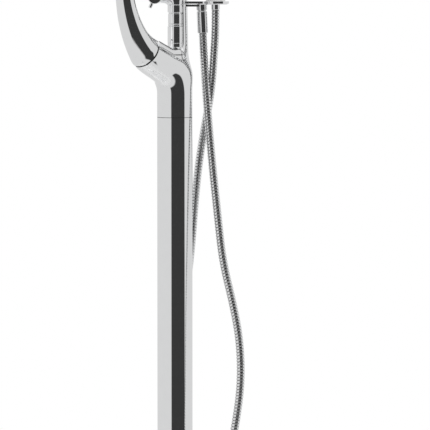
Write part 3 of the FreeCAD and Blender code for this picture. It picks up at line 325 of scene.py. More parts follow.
# ---- Hose -------------------------------------------------------------------
HOSE_R = 7.0 * MM
HOSE_PITCH = 5.25 * MM
HOSE_GROOVE = 1.15 * MM
HOSE_AROUND = 28
HOSE_FRAMES = 8            # directions worked out per turn of the strip
HOSE_FINENESS = 40         # the spline's steps per point of the route
HOSE_ROUTE = [
    (47.51, 20, 895.34),
    (49.55, 20, 850),
    (54.7, 8, 775),
    (63, -5, 680),
    (72.5, -15, 590),
    (81.5, -24, 508),
    (99.5, -37, 436),
    (111, -46, 372),
    (112.5, -51, 300),
    (101.5, -58, 226),
    (91, -48, 174),
    (73, -20, 146),
    (48, 17, 146),
    (27, 45, 174),
    (17, 54, 226),
    (11, 54, 300),
    (12, 50, 380),
    (19, 42, 456),
    (28, 34, 530),
    (33.5, 30, 604),
    (40.5, 29, 674),
    (51.5, 27, 740),
    (62.5, 22, 800),
    (66.8, 20.4, 862),
    (69.2, 20, 900),
    (69.2, 20, 935.4),
]


def hose_line():
    """Points along the route's NURBS spline, in metres."""
    curve = bpy.data.curves.new("hose_line", "CURVE")
    curve.dimensions = "3D"
    spline = curve.splines.new("NURBS")
    spline.points.add(len(HOSE_ROUTE) - 1)
    for point, place in zip(spline.points, HOSE_ROUTE):
        point.co = (*mm(*place), 1)
    spline.order_u = 3
    spline.use_endpoint_u = True
    spline.resolution_u = HOSE_FINENESS
    holder = bpy.data.objects.new("hose_line", curve)
    mesh = bpy.data.meshes.new_from_object(holder)
    points = np.array([v.co[:] for v in mesh.vertices])
    bpy.data.objects.remove(holder)
    bpy.data.meshes.remove(mesh)
    return points


def resample(points, stops):
    """Places along a line of points at these lengths."""
    steps = np.linalg.norm(np.diff(points, axis=0), axis=1)
    at = np.concatenate([[0], np.cumsum(steps)])
    return np.stack([np.interp(stops, at, points[:, i]) for i in range(3)], axis=1)


def line_length(points):
    return float(np.linalg.norm(np.diff(points, axis=0), axis=1).sum())


def carried_frames(points):
    """Two sideways directions at each point of a line, carried along it without twist."""
    tangents = np.gradient(points, axis=0)
    tangents /= np.linalg.norm(tangents, axis=1)[:, None]
    side = np.cross(tangents[0], [0, 1, 0] if abs(tangents[0][1]) < 0.9 else [1, 0, 0])
    side /= np.linalg.norm(side)
    sides = []
    for tangent in tangents:
        side = side - tangent * side.dot(tangent)
        side /= np.linalg.norm(side)
        sides.append(side)
    sides = np.array(sides)
    return sides, np.cross(tangents, sides)


# One turn of the hose's strip: where along the pitch, and how far below the crown.
HOSE_PROFILE = [(0.00, 1.0), (0.11, 1.0), (0.15, 0.5), (0.19, 0.08), (0.23, 0.012), (0.50, 0.0),
                (0.77, 0.012), (0.81, 0.08), (0.85, 0.5), (0.89, 1.0)]


def make_hose():
    """A wound metal strip: rounded turns with a thin groove that runs round as a helix."""
    line = hose_line()
    length = line_length(line)
    around = HOSE_AROUND
    turns = round(length / HOSE_PITCH)
    pitch = length / turns
    stops = [(t + along) * pitch for t in range(-1, turns + 1) for along, _ in HOSE_PROFILE]
    depths = [depth for t in range(-1, turns + 1) for _, depth in HOSE_PROFILE]
    fine = np.linspace(0, length, turns * HOSE_FRAMES + 1)
    centre_line = resample(line, fine)
    sides, ups = carried_frames(centre_line)
    share = np.arange(around) / around
    places = np.clip(np.array(stops)[:, None] + share[None, :] * pitch, 0, length)
    where = places / length * (len(fine) - 1)
    low = np.minimum(where.astype(int), len(fine) - 2)
    t = (where - low)[..., None]
    centres, across, upward = (
        values[low] * (1 - t) + values[low + 1] * t for values in (centre_line, sides, ups))
    angles = (2 * math.pi * share)[None, :, None]
    radii = (HOSE_R - HOSE_GROOVE * np.array(depths))[:, None, None]
    verts = centres + (across * np.cos(angles) + upward * np.sin(angles)) * radii
    verts = verts.reshape(-1, 3)
    faces = []
    rows = len(stops)
    per_turn = len(HOSE_PROFILE)
    for j in range(rows - 1):
        for k in range(around - 1):
            a = j * around + k
            faces.append((a, a + 1, a + around + 1, a + around))
        if j + per_turn + 1 < rows:
            last = j * around + around - 1
            first = (j + per_turn) * around
            faces.append((last, first, first + around, last + around))
    obj = add_piece("shower_hose_skin", verts, faces, HOSE_CHROME, body=None,
                    nodes=("shower_hose",), sharp=0)
    paint_groove_shade(obj, around)
    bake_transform(obj)


def paint_groove_shade(obj, around):
    """The groove's faces, the first and last two of each turn, get a darker grey: painted shade in
    the groove between the turns.
    """
    obj.data.materials.append(GROOVE_SHADE)
    per_turn = len(HOSE_PROFILE)
    for polygon in obj.data.polygons:
        row = min(polygon.vertices) // around
        polygon.material_index = 1 if row % per_turn in (0, 1, per_turn - 2, per_turn - 1) else 0


make_hose()


# ---- The forked casting and the spout ---------------------------------------
# In millimetres and degrees, as in the CAD source, apart from NECK_BEND_R, which is 61 there, and
# RISER_ROOT_R, which is 29. NECK_SLIM_POWER, RISER_WAIST and the FUSE values are only here.
COLUMN_R = 30.0
SEAM_Z = 753.0
SEAM_GAP = 0.8
FORK_ANGLE = 227.0
FORK_DIR = np.array([math.cos(math.radians(FORK_ANGLE)), math.sin(math.radians(FORK_ANGLE)), 0.0])
UP_ROW = np.array([0.0, 0.0, 1.0])
NECK_CORNER_Z = 823.5
NECK_RISE = 27.7
NECK_BEND_R = 50.0
NECK_SLIM_POWER = 1.8      # the neck slims late, so no ring shows where it starts to bend
JOINT_REACH = 71.8
JOINT_R = 26.5
JOINT_TILT = 38.0
RING_T = 3.0
RISER_POS = np.array([6.2, 20.0, 0.0])
RISER_R = 16.4
RISER_ROOT_Z = 788.0
RISER_ROOT_R = 26.0
RISER_STRAIGHT_Z = 885.0
RISER_TOP_Z = 978.0
RISER_WAIST = [(940.0, 15.3), (998.0, 14.9)]    # the riser narrows a little towards the mixer
WEB_ANGLE = 224.0
WEB_HALF_W = 12.0
WEB_SEAT_L = 14.0
WEB_SLOPE = 24.0
WEB_REACH = 74.0
WEB_DEPTH = 24.0
POST_POS = np.array([1.2, -11.0, 0.0])
POST_SEAT_Z = 868.5
SPOUT_RISE_START = 45.0
SPOUT_RISE_END = 82.0
SPOUT_RISE_R = 172.0
SPOUT_STRAIGHT = 44.0
SPOUT_ARCH_R = 60.0
SPOUT_TIP_SLOPE = -80.0
SPOUT_TIP_L = 10.0
SPOUT_MID_R = 18.2
SPOUT_MID_SHARE = 0.82
SPOUT_SLIM_POWER = 1.6
SPOUT_TOP_R = 15.6
SPOUT_TIP_R = 14.5
JOINT_POS = FORK_DIR * JOINT_REACH + UP_ROW * (
    NECK_CORNER_Z + JOINT_REACH * math.tan(math.radians(NECK_RISE)))
TUCK = 20.0         # the casting's line starts this far under its cut at the seam
TIP_SPARE = 30.0    # and the spout's line ends this far past its cut at the tip


def slope_dir(degrees):
    """The direction that rises this much on the spout's side."""
    a = math.radians(degrees)
    return FORK_DIR * math.cos(a) + UP_ROW * math.sin(a)


def neck_line():
    """Centres and radii from the column's top, round the bend, to the spout joint."""
    turn = math.radians(90.0 - NECK_RISE)
    bend_z = NECK_CORNER_Z - NECK_BEND_R * math.tan(turn / 2)
    centres = [UP_ROW * bend_z]
    parts = 48
    for i in range(1, parts + 1):
        a = turn * i / parts
        centres.append(FORK_DIR * (NECK_BEND_R * (1 - math.cos(a)))
                       + UP_ROW * (bend_z + NECK_BEND_R * math.sin(a)))
    start = centres[-1]
    leave, arrive = slope_dir(NECK_RISE), slope_dir(JOINT_TILT)
    reach = np.linalg.norm(JOINT_POS - start)
    parts = 24
    for i in range(1, parts + 1):
        t = i / parts
        centres.append(start * (2 * t ** 3 - 3 * t ** 2 + 1)
                       + leave * (reach * (t ** 3 - 2 * t ** 2 + t))
                       + JOINT_POS * (3 * t ** 2 - 2 * t ** 3)
                       + arrive * (reach * (t ** 3 - t ** 2)))
    steps = np.linalg.norm(np.diff(np.array(centres), axis=0), axis=1)
    along = np.concatenate([[0], np.cumsum(steps)]) / steps.sum()
    radii = COLUMN_R + (JOINT_R - COLUMN_R) * along ** NECK_SLIM_POWER
    return [(UP_ROW * (SEAM_Z - TUCK), COLUMN_R)] + list(zip(centres, radii))


def spout_line():
    """Centres and radii from the joint, rising, over the arch and down to the tip."""
    made = [(JOINT_POS, JOINT_R)]
    start = math.radians(SPOUT_RISE_START)
    parts = 64
    for i in range(1, parts + 1):
        share = i / parts
        slope = SPOUT_RISE_START + (SPOUT_RISE_END - SPOUT_RISE_START) * share
        a = math.radians(slope)
        centre = (JOINT_POS + FORK_DIR * (SPOUT_RISE_R * (math.sin(a) - math.sin(start)))
                  + UP_ROW * (SPOUT_RISE_R * (math.cos(start) - math.cos(a))))
        made.append((centre, spout_rise_r(share)))
    knee = made[-1][0] + slope_dir(SPOUT_RISE_END) * SPOUT_STRAIGHT
    parts = 96
    first = math.radians(SPOUT_RISE_END)
    for i in range(parts + 1):
        share = i / parts
        slope = SPOUT_RISE_END + (SPOUT_TIP_SLOPE - SPOUT_RISE_END) * share
        a = math.radians(slope)
        centre = (knee + FORK_DIR * (SPOUT_ARCH_R * (math.sin(first) - math.sin(a)))
                  + UP_ROW * (SPOUT_ARCH_R * (math.cos(a) - math.cos(first))))
        made.append((centre, SPOUT_TOP_R + (SPOUT_TIP_R - SPOUT_TOP_R) * share))
    tip = made[-1][0] + slope_dir(SPOUT_TIP_SLOPE) * (SPOUT_TIP_L + TIP_SPARE)
    return made + [(tip, SPOUT_TIP_R)]


def spout_rise_r(share):
    """Radius up the spout's leaning part: wide at the joint, then slim."""
    slim = 1 - (1 - share) ** SPOUT_SLIM_POWER
    low = JOINT_R + (SPOUT_MID_R - JOINT_R) * min(slim / SPOUT_MID_SHARE, 1)
    past = max(0, (slim - SPOUT_MID_SHARE) / (1 - SPOUT_MID_SHARE))
    return low + (SPOUT_TOP_R - SPOUT_MID_R) * past


def riser_line():
    """Centres and radii from inside the column's top, leaning back, then up to the mixer."""
    made = []
    parts = 60
    for i in range(parts + 1):
        share = i / parts
        offset = share * share * (3 - 2 * share)
        height = RISER_ROOT_Z + (RISER_STRAIGHT_Z - RISER_ROOT_Z) * share
        made.append((RISER_POS * offset + UP_ROW * height,
                     RISER_ROOT_R + (RISER_R - RISER_ROOT_R) * offset))
    for height, radius in RISER_WAIST:
        made.append((RISER_POS + UP_ROW * height, radius))
    return made


def smooth_min(a, b, width):
    """The lesser of two fields, rounded where they come within a width of each other."""
    h = np.maximum(width - np.abs(a - b), 0) / width
    return np.minimum(a, b) - h * h * width / 4


def smooth_max(a, b, width):
    return -smooth_min(-a, -b, width)


FAR = 40.0        # fields are only worked out this near to their surface


class TubeField:
    """Signed distance to a tube along a line of (centre, radius), in millimetres."""

    def __init__(self, line):
        self.starts = np.array([c for c, _ in line[:-1]])
        self.runs = np.array([c for c, _ in line[1:]]) - self.starts
        self.lengths = np.maximum((self.runs ** 2).sum(axis=1), 1e-9)
        self.radii = np.array([r for _, r in line])

    def __call__(self, p):
        order = np.argsort(p[:, 2])
        q = p[order]
        best = np.full(len(p), FAR)
        for start, run, length, r0, r1 in zip(self.starts, self.runs, self.lengths,
                                              self.radii, self.radii[1:]):
            reach = max(r0, r1) + FAR
            low, high = sorted((start[2], start[2] + run[2]))
            near = slice(*np.searchsorted(q[:, 2], (low - reach, high + reach)))
            off = q[near] - start
            t = np.clip((off @ run) / length, 0, 1)
            away = np.linalg.norm(off - t[:, None] * run, axis=1)
            best[near] = np.minimum(best[near], away - (r0 + (r1 - r0) * t))
        values = np.empty(len(p))
        values[order] = best
        return values


WEB_ALONG = np.array([math.cos(math.radians(WEB_ANGLE)), math.sin(math.radians(WEB_ANGLE)), 0.0])
WEB_ACROSS = np.array([-WEB_ALONG[1], WEB_ALONG[0], 0.0])
WEB_CREASE = 3.0      # how softly the web's level seat meets its slope
WEB_EDGE = 6.0        # how round its upper edges are


def web_field(p):
    """The rounded web under the post: level at the seat, then rising along the spout's back."""
    q = p - POST_POS
    s, w = q @ WEB_ALONG, q @ WEB_ACROSS
    beyond = s - np.clip(s, 0, WEB_REACH)
    sides = np.hypot(beyond, w) - WEB_HALF_W
    a = math.radians(WEB_SLOPE)
    level = q[:, 2] - POST_SEAT_Z
    ramp = level * math.cos(a) - (s - WEB_SEAT_L) * math.sin(a)
    top = smooth_min(level, ramp, WEB_CREASE)
    bottom = (POST_SEAT_Z - WEB_DEPTH) - p[:, 2]
    return np.maximum(smooth_max(sides, top, WEB_EDGE), bottom)


FUSE_Z = 790.0
FUSE_RISE = 44.0
FUSE_LOW = 3.0
FUSE_HIGH = 26.0
SPOUT_FUSE = 1.0
WEB_FUSE = 4.0
NECK_FIELD = TubeField(neck_line())
SPOUT_FIELD = TubeField(spout_line())
RISER_FIELD = TubeField(riser_line())


def upper_field(p):
    """Neck, spout, riser and web; the riser's root melts into the neck from FUSE_Z up."""
    arm = smooth_min(NECK_FIELD(p), SPOUT_FIELD(p), SPOUT_FUSE)
    rise = np.clip((p[:, 2] - FUSE_Z) / FUSE_RISE, 0, 1)
    width = FUSE_LOW + (FUSE_HIGH - FUSE_LOW) * rise * rise * (3 - 2 * rise)
    body = smooth_min(arm, RISER_FIELD(p), width)
    return smooth_min(body, web_field(p), WEB_FUSE)


GRADIENT_STEP = 0.02


def gradient(field, p, here=None):
    """The field's slope at each point, from one short step along each axis."""
    if here is None:
        here = field(p)
    return np.stack([(field(p + GRADIENT_STEP * axis) - here) / GRADIENT_STEP
                     for axis in np.eye(3)], axis=1)


def rough_tube(line, around=40):
    """Rings of a tube, in metres, to start the skin from."""
    centres = np.array([c for c, _ in line])
    sides, ups = carried_frames(centres)
    verts, rings = [], []
    for (centre, r), side, up in zip(line, sides, ups):
        rings.append(list(range(len(verts), len(verts) + around)))
        for k in range(around):
            a = 2 * math.pi * k / around
            verts.append((centre + (side * math.cos(a) + up * math.sin(a)) * r) * MM)
    faces = ring_faces(rings)
    faces.append(tuple(reversed(rings[0])))
    faces.append(tuple(rings[-1]))
    return verts, faces


WEB_TUCK = 2.0        # the rough web starts this far inside its round end


def rough_web():
    """A plain block of the web's size, in metres, to start the skin from."""
    low, high = POST_SEAT_Z - WEB_DEPTH, POST_SEAT_Z
    rise = (WEB_REACH - WEB_SEAT_L) * math.tan(math.radians(WEB_SLOPE))
    verts = []
    for s, top in ((-WEB_HALF_W + WEB_TUCK, high), (WEB_SEAT_L, high), (WEB_REACH, high + rise)):
        for w in (-WEB_HALF_W, WEB_HALF_W):
            for z in (low, top):
                place = POST_POS + WEB_ALONG * s + WEB_ACROSS * w + UP_ROW * z
                verts.append(place * MM)
    faces = [(0, 1, 3, 2), (8, 10, 11, 9)]
    for a in (0, 4):
        faces += [(a, a + 4, a + 5, a + 1), (a + 2, a + 3, a + 7, a + 6),
                  (a + 1, a + 5, a + 7, a + 3), (a, a + 2, a + 6, a + 4)]
    return verts, faces


SKIN_VOXEL = 1.7 * MM
SKIN_ROUNDS = 5
SETTLE_ROUNDS = 2       # the last rounds only settle and don't relax
RELAX = 0.6
LEAST_SLOPE = 0.2
NORMAL_ROUNDS = 3
FLAT_CORNERS = 8        # a face with more corners than this is a flat cut


def mesh_points(mesh):
    """A mesh's vertices, in millimetres."""
    p = np.empty(len(mesh.vertices) * 3)
    mesh.vertices.foreach_get("co", p)
    return p.reshape(-1, 3) / MM


def mesh_edges(mesh):
    edges = np.empty(len(mesh.edges) * 2, dtype=np.int64)
    mesh.edges.foreach_get("vertices", edges)
    return edges.reshape(-1, 2)


def add_neighbours(total, values, edges):
    """Adds to each vertex's total the values of the vertices one edge away."""
    np.add.at(total, edges[:, 0], values[edges[:, 1]])
    np.add.at(total, edges[:, 1], values[edges[:, 0]])


def skin_mesh(field, parts, voxel=SKIN_VOXEL):
    """Remeshes rough parts into one skin and moves its vertices onto the field's zero."""
    verts, faces = [], []
    for part_verts, part_faces in parts:
        base = len(verts)
        verts += [tuple(v) for v in part_verts]
        faces += [tuple(base + i for i in face) for face in part_faces]
    mesh = bpy.data.meshes.new("rough")
    mesh.from_pydata(verts, [], faces)
    obj = bpy.data.objects.new("rough", mesh)
    bpy.context.collection.objects.link(obj)
    remesh = obj.modifiers.new("remesh", "REMESH")
    remesh.mode = "VOXEL"
    remesh.voxel_size = voxel
    depsgraph = bpy.context.evaluated_depsgraph_get()
    skin = bpy.data.meshes.new_from_object(obj.evaluated_get(depsgraph))
    bpy.data.objects.remove(obj)
    smooth_onto(skin, field)
    return skin


def smooth_onto(mesh, field):
    """Relaxes a mesh along its own surface and settles it on the field's zero."""
    p = mesh_points(mesh)
    edges = mesh_edges(mesh)
    degree = np.bincount(edges.ravel(), minlength=len(p))[:, None]
    for round_number in range(SKIN_ROUNDS):
        if round_number < SKIN_ROUNDS - SETTLE_ROUNDS:
            total = np.zeros_like(p)
            add_neighbours(total, p, edges)
            p = p + (total / degree - p) * RELAX
        away = field(p)
        slope = gradient(field, p, away)
        steepness = np.maximum((slope ** 2).sum(axis=1), LEAST_SLOPE)
        p = p - slope * (away / steepness)[:, None]
    mesh.vertices.foreach_set("co", (p * MM).ravel())
    mesh.update()


CUT_REACH = 0.045       # a cut works on the skin this near to its point


def cut_skin(mesh, name, cuts, keep):
    """The part of the skin around the point keep, after cuts by planes (point, normal)."""
    part = bmesh.new()
    part.from_mesh(mesh)
    for point, normal in cuts:
        at = Vector(point) * MM
        near = {v for v in part.verts if (v.co - at).length < CUT_REACH}
        geometry = list(near)
        geometry += [e for e in part.edges if near.issuperset(e.verts)]
        geometry += [f for f in part.faces if near.issuperset(f.verts)]
        made = bmesh.ops.bisect_plane(part, geom=geometry, plane_co=at, plane_no=Vector(normal))
        rim = [e for e in made["geom_cut"] if isinstance(e, bmesh.types.BMEdge)]
        bmesh.ops.split_edges(part, edges=rim)
    first = min(part.verts, key=lambda v: (v.co - Vector(keep) * MM).length)
    kept, waiting = {first}, [first]
    while waiting:
        for edge in waiting.pop().link_edges:
            for vert in edge.verts:
                if vert not in kept:
                    kept.add(vert)
                    waiting.append(vert)
    bmesh.ops.delete(part, geom=[v for v in part.verts if v not in kept], context="VERTS")
    bmesh.ops.holes_fill(part, edges=[e for e in part.edges if e.is_boundary], sides=0)
    result = bpy.data.meshes.new(name)
    part.to_mesh(result)
    part.free()
    return result


def set_field_normals(mesh, field):
    """Shades the skin by the field's own slope, and the flat cuts as flat."""
    slope = gradient(field, mesh_points(mesh))
    slope /= np.linalg.norm(slope, axis=1)[:, None]
    edges = mesh_edges(mesh)
    for _ in range(NORMAL_ROUNDS):
        total = slope.copy()
        add_neighbours(total, slope, edges)
        slope = total / np.linalg.norm(total, axis=1)[:, None]
    normals = np.empty((len(mesh.loops), 3))
    for polygon in mesh.polygons:
        flat = len(polygon.vertices) > FLAT_CORNERS
        for loop in polygon.loop_indices:
            vertex = mesh.loops[loop].vertex_index
            normals[loop] = polygon.normal if flat else slope[vertex]
    mesh.normals_split_custom_set(normals.tolist())


# Points of the lines beside which the casting's and the spout's skin surely lie.
FORK_POINT = 2
SPOUT_POINT = 60


def make_upper():
    """The casting and the spout, cut apart at the ring between them."""
    axis = slope_dir(JOINT_TILT)
    neck, spout = neck_line(), spout_line()
    parts = [rough_tube(neck), rough_tube(spout), rough_tube(riser_line()), rough_web()]
    skin = skin_mesh(upper_field, parts)
    tip = spout[-2][0] + slope_dir(SPOUT_TIP_SLOPE) * SPOUT_TIP_L
    riser_top = RISER_POS + UP_ROW * RISER_TOP_Z
    pieces = {
        "fork_skin": ("fork_casting", neck[FORK_POINT][0] + FORK_DIR * COLUMN_R, [
            (UP_ROW * (SEAM_Z + SEAM_GAP / 2), UP_ROW), (riser_top, UP_ROW),
            (JOINT_POS - axis * (RING_T / 2), axis)]),
        "spout_skin": ("spout_arm", spout[SPOUT_POINT][0] + FORK_DIR * SPOUT_MID_R, [
            (JOINT_POS + axis * (RING_T / 2), axis), (tip, slope_dir(SPOUT_TIP_SLOPE))]),
    }
    for name, (node, keep, cuts) in pieces.items():
        mesh = cut_skin(skin, name, cuts, keep)
        obj = finish_piece(name, mesh, CHROME, "filler", (node,), sharp=0)
        set_field_normals(obj.data, upper_field)


# ---- Dark lines of painted shade along the saddle's edges -------------------
BEAD_R = 1.1
BEAD_DROPS = (0.6, 9.5)        # the two dark lines run this far below the saddle's top
BEAD_SIDES = (8.6, 12.1)       # and this far from its middle
BEAD_AROUND = 12
BEAD_SHARE = 0.62              # they end at this share of the web's reach
BEAD_POINTS = 24               # on each straight side and on the round end


def saddle_outline(side_w, drop):
    """Points round the saddle, from the spout joint, round the post's far side, and back."""
    points = []
    for s in np.linspace(WEB_REACH * BEAD_SHARE, 0, BEAD_POINTS):
        points.append((s, side_w))
    for a in np.linspace(90, 270, BEAD_POINTS):
        r = math.radians(a)
        points.append((math.cos(r) * side_w, math.sin(r) * side_w))
    for s in np.linspace(0, WEB_REACH * BEAD_SHARE, BEAD_POINTS):
        points.append((s, -side_w))
    made = []
    for s, w in points:
        rise = max(0, s - WEB_SEAT_L) * math.tan(math.radians(WEB_SLOPE))
        place = POST_POS + WEB_ALONG * s + WEB_ACROSS * w
        made.append(place + UP_ROW * (POST_SEAT_Z + rise - drop))
    return made


# Two thin dark tubes, at the saddle's upper edge and where it meets the neck: painted shade in the
# creases.
def make_saddle_shade_lines():
    for name, side, drop in zip(("saddle_upper_shade_line", "saddle_lower_shade_line"), BEAD_SIDES, BEAD_DROPS):
        line = [(p, BEAD_R) for p in saddle_outline(side, drop)]
        add_piece(name, *rough_tube(line, BEAD_AROUND), SADDLE_SHADE, sharp=0)


# ---- Turned pieces of the post, the knob and the mixer -----------------------
# Each is (radius, height) corners in mm and how round they are.
POST_TURNED = {
    "post_foot": ([(0, 0), (9.8, 0), (12.95, 3.7), (13.1, 10.5), (0, 10.5)], 1.2),
    "post_barrel": ([(0, 0), (13.1, 0), (13.1, 28), (0, 28)], 0.25),
    "post_band": ([(0, 0), (11.0, 0), (12.4, 0.9), (12.4, 3.4), (11.0, 4.3), (0, 4.3)], 1.0),
    "post_sleeve": ([(0, 0), (12.3, 0), (12.3, 17.1), (0, 17.1)], 0.6),
    "post_collar": ([(0, 0), (11.4, 0), (11.4, 2.2), (13.1, 2.2), (13.1, 14.7), (0, 14.7)], 0.7),
}
KNOB_TURNED = [(0, 0), (11.4, 0), (12, 0.8), (12, 8), (11, 9), (0, 8.8)]
KNOB_EDGE = 0.9
BRANCH_REACH = 34.5
BRANCH_Z = 956.8
BRANCH_ROOT_R = 13.4
BOSS_R = 11.0
BOSS_REACH = 13.5       # how far the boss stands out towards the viewer
BOSS_BACK = 11.2        # and away from the viewer
ROUGH_BACK = 11.0
TEE_R = 12.7
TEE_BOTTOM_Z = 943.1
TEE_VOXEL = 1.0 * MM
BOSS_FUSE = 3.0
BRANCH_FUSE = 4.0
BRANCH_ROOT = POST_POS + UP_ROW * BRANCH_Z
KNOB_POS = BRANCH_ROOT - np.array([BRANCH_REACH, 0, 0])
BRANCH_LINE = [(BRANCH_ROOT, BRANCH_ROOT_R), (KNOB_POS, BOSS_R)]
BRANCH_FIELD = TubeField(BRANCH_LINE)


def make_post():
    for node, (corners, radius) in POST_TURNED.items():
        lathe(node + "_skin", corners, radius, foot_of(node), nodes=(node,))
    lo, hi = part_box("diverter_knob")
    back = Vector(((lo.x + hi.x) / 2, hi.y, (lo.z + hi.z) / 2))
    lathe("diverter_knob_skin", KNOB_TURNED, KNOB_EDGE, back, Vector((0, -1, 0)),
          body="diverter", nodes=("diverter_knob",))


def tee_field(p):
    """The post's top, its branch and the knob's boss, melted together."""
    off = p - POST_POS
    stand = np.hypot(off[:, 0], off[:, 1]) - TEE_R
    low = np.maximum(TEE_BOTTOM_Z - p[:, 2], p[:, 2] - RISER_TOP_Z)
    stand = np.maximum(stand, low)
    away = p - KNOB_POS
    boss = np.maximum(np.hypot(away[:, 0], away[:, 2]) - BOSS_R,
                      np.maximum(-away[:, 1] - BOSS_REACH, away[:, 1] - BOSS_BACK))
    return smooth_min(stand, smooth_min(BRANCH_FIELD(p), boss, BOSS_FUSE), BRANCH_FUSE)


def make_tee():
    back = np.array([0, 1.0, 0])
    stand = [(POST_POS + UP_ROW * z, TEE_R) for z in (TEE_BOTTOM_Z, RISER_TOP_Z)]
    boss = [(KNOB_POS + back * ROUGH_BACK, BOSS_R), (KNOB_POS - back * BOSS_REACH, BOSS_R)]
    parts = [rough_tube(line) for line in (stand, BRANCH_LINE, boss)]
    skin = skin_mesh(tee_field, parts, TEE_VOXEL)
    obj = finish_piece("diverter_tee_skin", skin, CHROME, "filler", ("diverter_tee",), sharp=0)
    set_field_normals(obj.data, tee_field)


STADIUM_STEPS = 28
SIDE_PARTS = 6          # a straight side is split into this many parts
SIDE_FROM = 6.0         # where it is longer than this, in mm


def stadium(start, end, radius):
    """Closed outline, anticlockwise, of the points within a radius of a short line."""
    start, end = np.array(start[:2]), np.array(end[:2])
    run = end - start
    heading = math.atan2(run[1], run[0])
    points = []
    for centre, first in ((end, heading - math.pi / 2), (start, heading + math.pi / 2)):
        for k in range(STADIUM_STEPS + 1):
            a = first + math.pi * k / STADIUM_STEPS
            points.append(centre + radius * np.array([math.cos(a), math.sin(a)]))
    straight = []
    for a, b in zip(points, points[1:] + points[:1]):
        straight.append(a)
        if np.linalg.norm(b - a) > SIDE_FROM:
            straight += [a + (b - a) * k / SIDE_PARTS for k in range(1, SIDE_PARTS)]
    return straight


MIXER_R = 22.0
MIXER_CORNERS = [(4, 0), (0, 0), (0, 28), (6, 28)]
MIXER_EDGE = 2.2
COVER_TURNED = [(20.9, 0), (23, 0), (23, 28), (14, 28), (14, 25)]
COVER_EDGE = 2.4


def make_mixer():
    slab("mixer_body_skin", stadium(POST_POS, RISER_POS, MIXER_R), MIXER_CORNERS, MIXER_EDGE,
         foot_of("mixer_body").z / MM, nodes=("mixer_body",))
    lathe("mixer_cover_skin", COVER_TURNED, COVER_EDGE, foot_of("mixer_cover"),
          nodes=("mixer_cover",))


# ---- Bracket, outlet, nut ----------------------------------------------------
HOLDER_X = 69.2
HOLDER_END_R = 22.9
HOLDER_HOLE_R = 14.1
PLATE_HALF_W = 13.0
PLATE_CORNERS = [(2.4, 0), (0, 1.5), (0, 5.4), (3, 5.4)]
PLATE_EDGE = 0.25
PLATE_POINTS = 220
PLATE_START = 10.0      # the plate starts this far past the riser's axis
PLATE_FUSE = 5.0        # how softly its strip widens into the round end
OUTLET_X = 45.4
OUTLET_LEAN = 2.5
OUTLET_FACE_Z = 934.4
PLATE_BOTTOM_Z = 943.6
NUT_TURNED = [(0, 0), (7.7, 0), (7.7, 2.2), (8.9, 3.2), (9.0, 39.1), (0, 39.1)]
NUT_EDGE = 0.9


def plate_outline():
    """The strip from the riser widening into the holder's round end, seen from above."""
    reach = HOLDER_X - RISER_POS[0] - PLATE_START
    points = []
    for k in range(PLATE_POINTS):
        a = 2 * math.pi * k / PLATE_POINTS
        c, s = math.cos(a), math.sin(a)
        r = HOLDER_END_R
        if c < 0:
            strip = min(PLATE_HALF_W / max(abs(s), 1e-6), reach / -c)
            r = float(smooth_max(strip, HOLDER_END_R, PLATE_FUSE))
        points.append((HOLDER_X + r * c, RISER_POS[1] + r * s))
    return points


def make_bracket():
    hole = (np.array([HOLDER_X, RISER_POS[1]]), HOLDER_HOLE_R)
    slab("holder_plate_skin", plate_outline(), PLATE_CORNERS, PLATE_EDGE, PLATE_BOTTOM_Z,
         hole=hole, nodes=("holder_plate",))
    lean = math.radians(OUTLET_LEAN)
    down = Vector((math.sin(lean), 0, -math.cos(lean)))
    mouth = mm(OUTLET_X, RISER_POS[1], PLATE_BOTTOM_Z)
    face = mouth + down * (PLATE_BOTTOM_Z - OUTLET_FACE_Z) / math.cos(lean) * MM
    lathe("hose_nut_skin", NUT_TURNED, NUT_EDGE, face, down, nodes=("hose_nut", "outlet_washer"))


# ---- Stage ------------------------------------------------------------------
FLOOR_R = 0.7
FLOOR_SIDES = 96
FLOOR_FADE = (0.35, 0.9)        # it fades out between these shares of its radius
FLOOR_TONES = (0.87, 0.90)
FLOOR_SPECK = 40.0


def make_floor():
    """A pale round floor that fades out into what is around it."""
    verts = [(0, 0, 0)]
    for k in range(FLOOR_SIDES):
        a = 2 * math.pi * k / FLOOR_SIDES
        verts.append((FLOOR_R * math.cos(a), FLOOR_R * math.sin(a), 0))
    faces = [(0, k + 1, (k + 1) % FLOOR_SIDES + 1) for k in range(FLOOR_SIDES)]
    mesh = bpy.data.meshes.new("floor")
    mesh.from_pydata(verts, [], faces)
    obj = bpy.data.objects.new("floor", mesh)
    bpy.context.collection.objects.link(obj)
    finish = bpy.data.materials.new("floor")
    finish.use_nodes = True
    n = Nodes(finish.node_tree)
    place = n.add("ShaderNodeTexCoord").outputs["Object"]
    far = n.add("ShaderNodeVectorMath", {0: place}, operation="LENGTH").outputs["Value"]
    fade = n.fade(far, FLOOR_FADE[0] * FLOOR_R, FLOOR_FADE[1] * FLOOR_R)
    dark, light = FLOOR_TONES
    speck = n.ramp(n.noise(FLOOR_SPECK), [(NOISE_LOW, grey(dark)), (NOISE_HIGH, grey(light))])
    matt = n.add("ShaderNodeBsdfDiffuse", {"Color": speck})
    clear = n.add("ShaderNodeBsdfTransparent")
    mixed = n.add("ShaderNodeMixShader", {0: fade, 1: matt.outputs[0], 2: clear.outputs[0]})
    n.add("ShaderNodeOutputMaterial", {"Surface": mixed.outputs[0]})
    mesh.materials.append(finish)


# The room that the polish sees: light walls, a white ceiling, the white backdrop behind the object
# and one dark panel on the camera's side, which gives the column its dark stripe. Compass angles
# are in degrees, 0 towards the picture's viewer and growing to the viewer's right. Heights are the
# sine of the look's slope. Each pair is the two ends of a soft edge.
WALL_LEVEL = 0.7
PANEL_LEVEL = 0.04
PANEL_LEFT = (-24.0, -20.0)
PANEL_RIGHT = (66.0, 70.0)
PANEL_FOOT = (-0.7, -0.6)
CEILING = (0.5, 0.65)
BACKDROP = (166.0, 172.0)
DIFFUSE_LEVEL = 0.9
WHITE = grey(1.0)


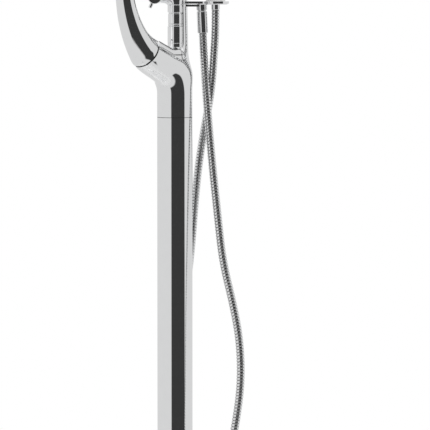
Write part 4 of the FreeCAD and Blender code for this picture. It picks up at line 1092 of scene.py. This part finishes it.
def make_world():
    """White for the camera, an even light for matt surfaces, and the room above for polish."""
    world = bpy.data.worlds.new("studio")
    bpy.context.scene.world = world
    world.use_nodes = True
    n = Nodes(world.node_tree)
    looking = n.add("ShaderNodeTexCoord").outputs["Generated"]
    split = n.add("ShaderNodeSeparateXYZ", {0: looking}).outputs
    height = split["Z"]
    # atan2(x, -y) is 0 towards -Y, the viewer, and positive towards +X.
    angle = n.maths("ARCTAN2", split["X"], n.maths("MULTIPLY", split["Y"], -1.0))
    across = n.maths("SUBTRACT", n.fade(angle, *map(math.radians, PANEL_LEFT)),
                     n.fade(angle, *map(math.radians, PANEL_RIGHT)))
    panel = n.maths("MULTIPLY", across, n.fade(height, *PANEL_FOOT))
    room = n.blend(panel, grey(WALL_LEVEL), grey(PANEL_LEVEL))
    room = n.blend(n.fade(height, *CEILING), room, WHITE)
    # Behind the object the polish sees the same white that the camera does.
    behind = n.fade(n.maths("ABSOLUTE", angle), *map(math.radians, BACKDROP))
    room = n.blend(behind, room, WHITE)
    path = n.add("ShaderNodeLightPath").outputs
    around = n.add("ShaderNodeBackground", {"Color": room, "Strength": 1.0})
    plain = n.add("ShaderNodeBackground", {"Color": (*WHITE, 1), "Strength": DIFFUSE_LEVEL})
    white = n.add("ShaderNodeBackground", {"Color": (*WHITE, 1), "Strength": 1.0})
    lit = n.add("ShaderNodeMixShader", {0: path["Is Glossy Ray"], 1: plain.outputs[0],
                                        2: around.outputs[0]})
    mixed = n.add("ShaderNodeMixShader", {0: path["Is Camera Ray"], 1: lit.outputs[0],
                                          2: white.outputs[0]})
    n.add("ShaderNodeOutputWorld", {"Surface": mixed.outputs[0]})


def dress_nodes():
    """The CAD nodes that stay get a procedural finish by their record slot."""
    slots = {part["node"]: part["material_slot"] for part in frame["record"]["subparts"]}
    for name, obj in frame["nodes"].items():
        obj.data.materials.clear()
        obj.data.materials.append(SLOT_MATERIALS[slots[name]])


dress_nodes()
make_upper()
make_saddle_shade_lines()
make_post()
make_tee()
make_mixer()
make_bracket()
make_floor()
make_world()

bpy.context.scene.view_settings.view_transform = "Standard"
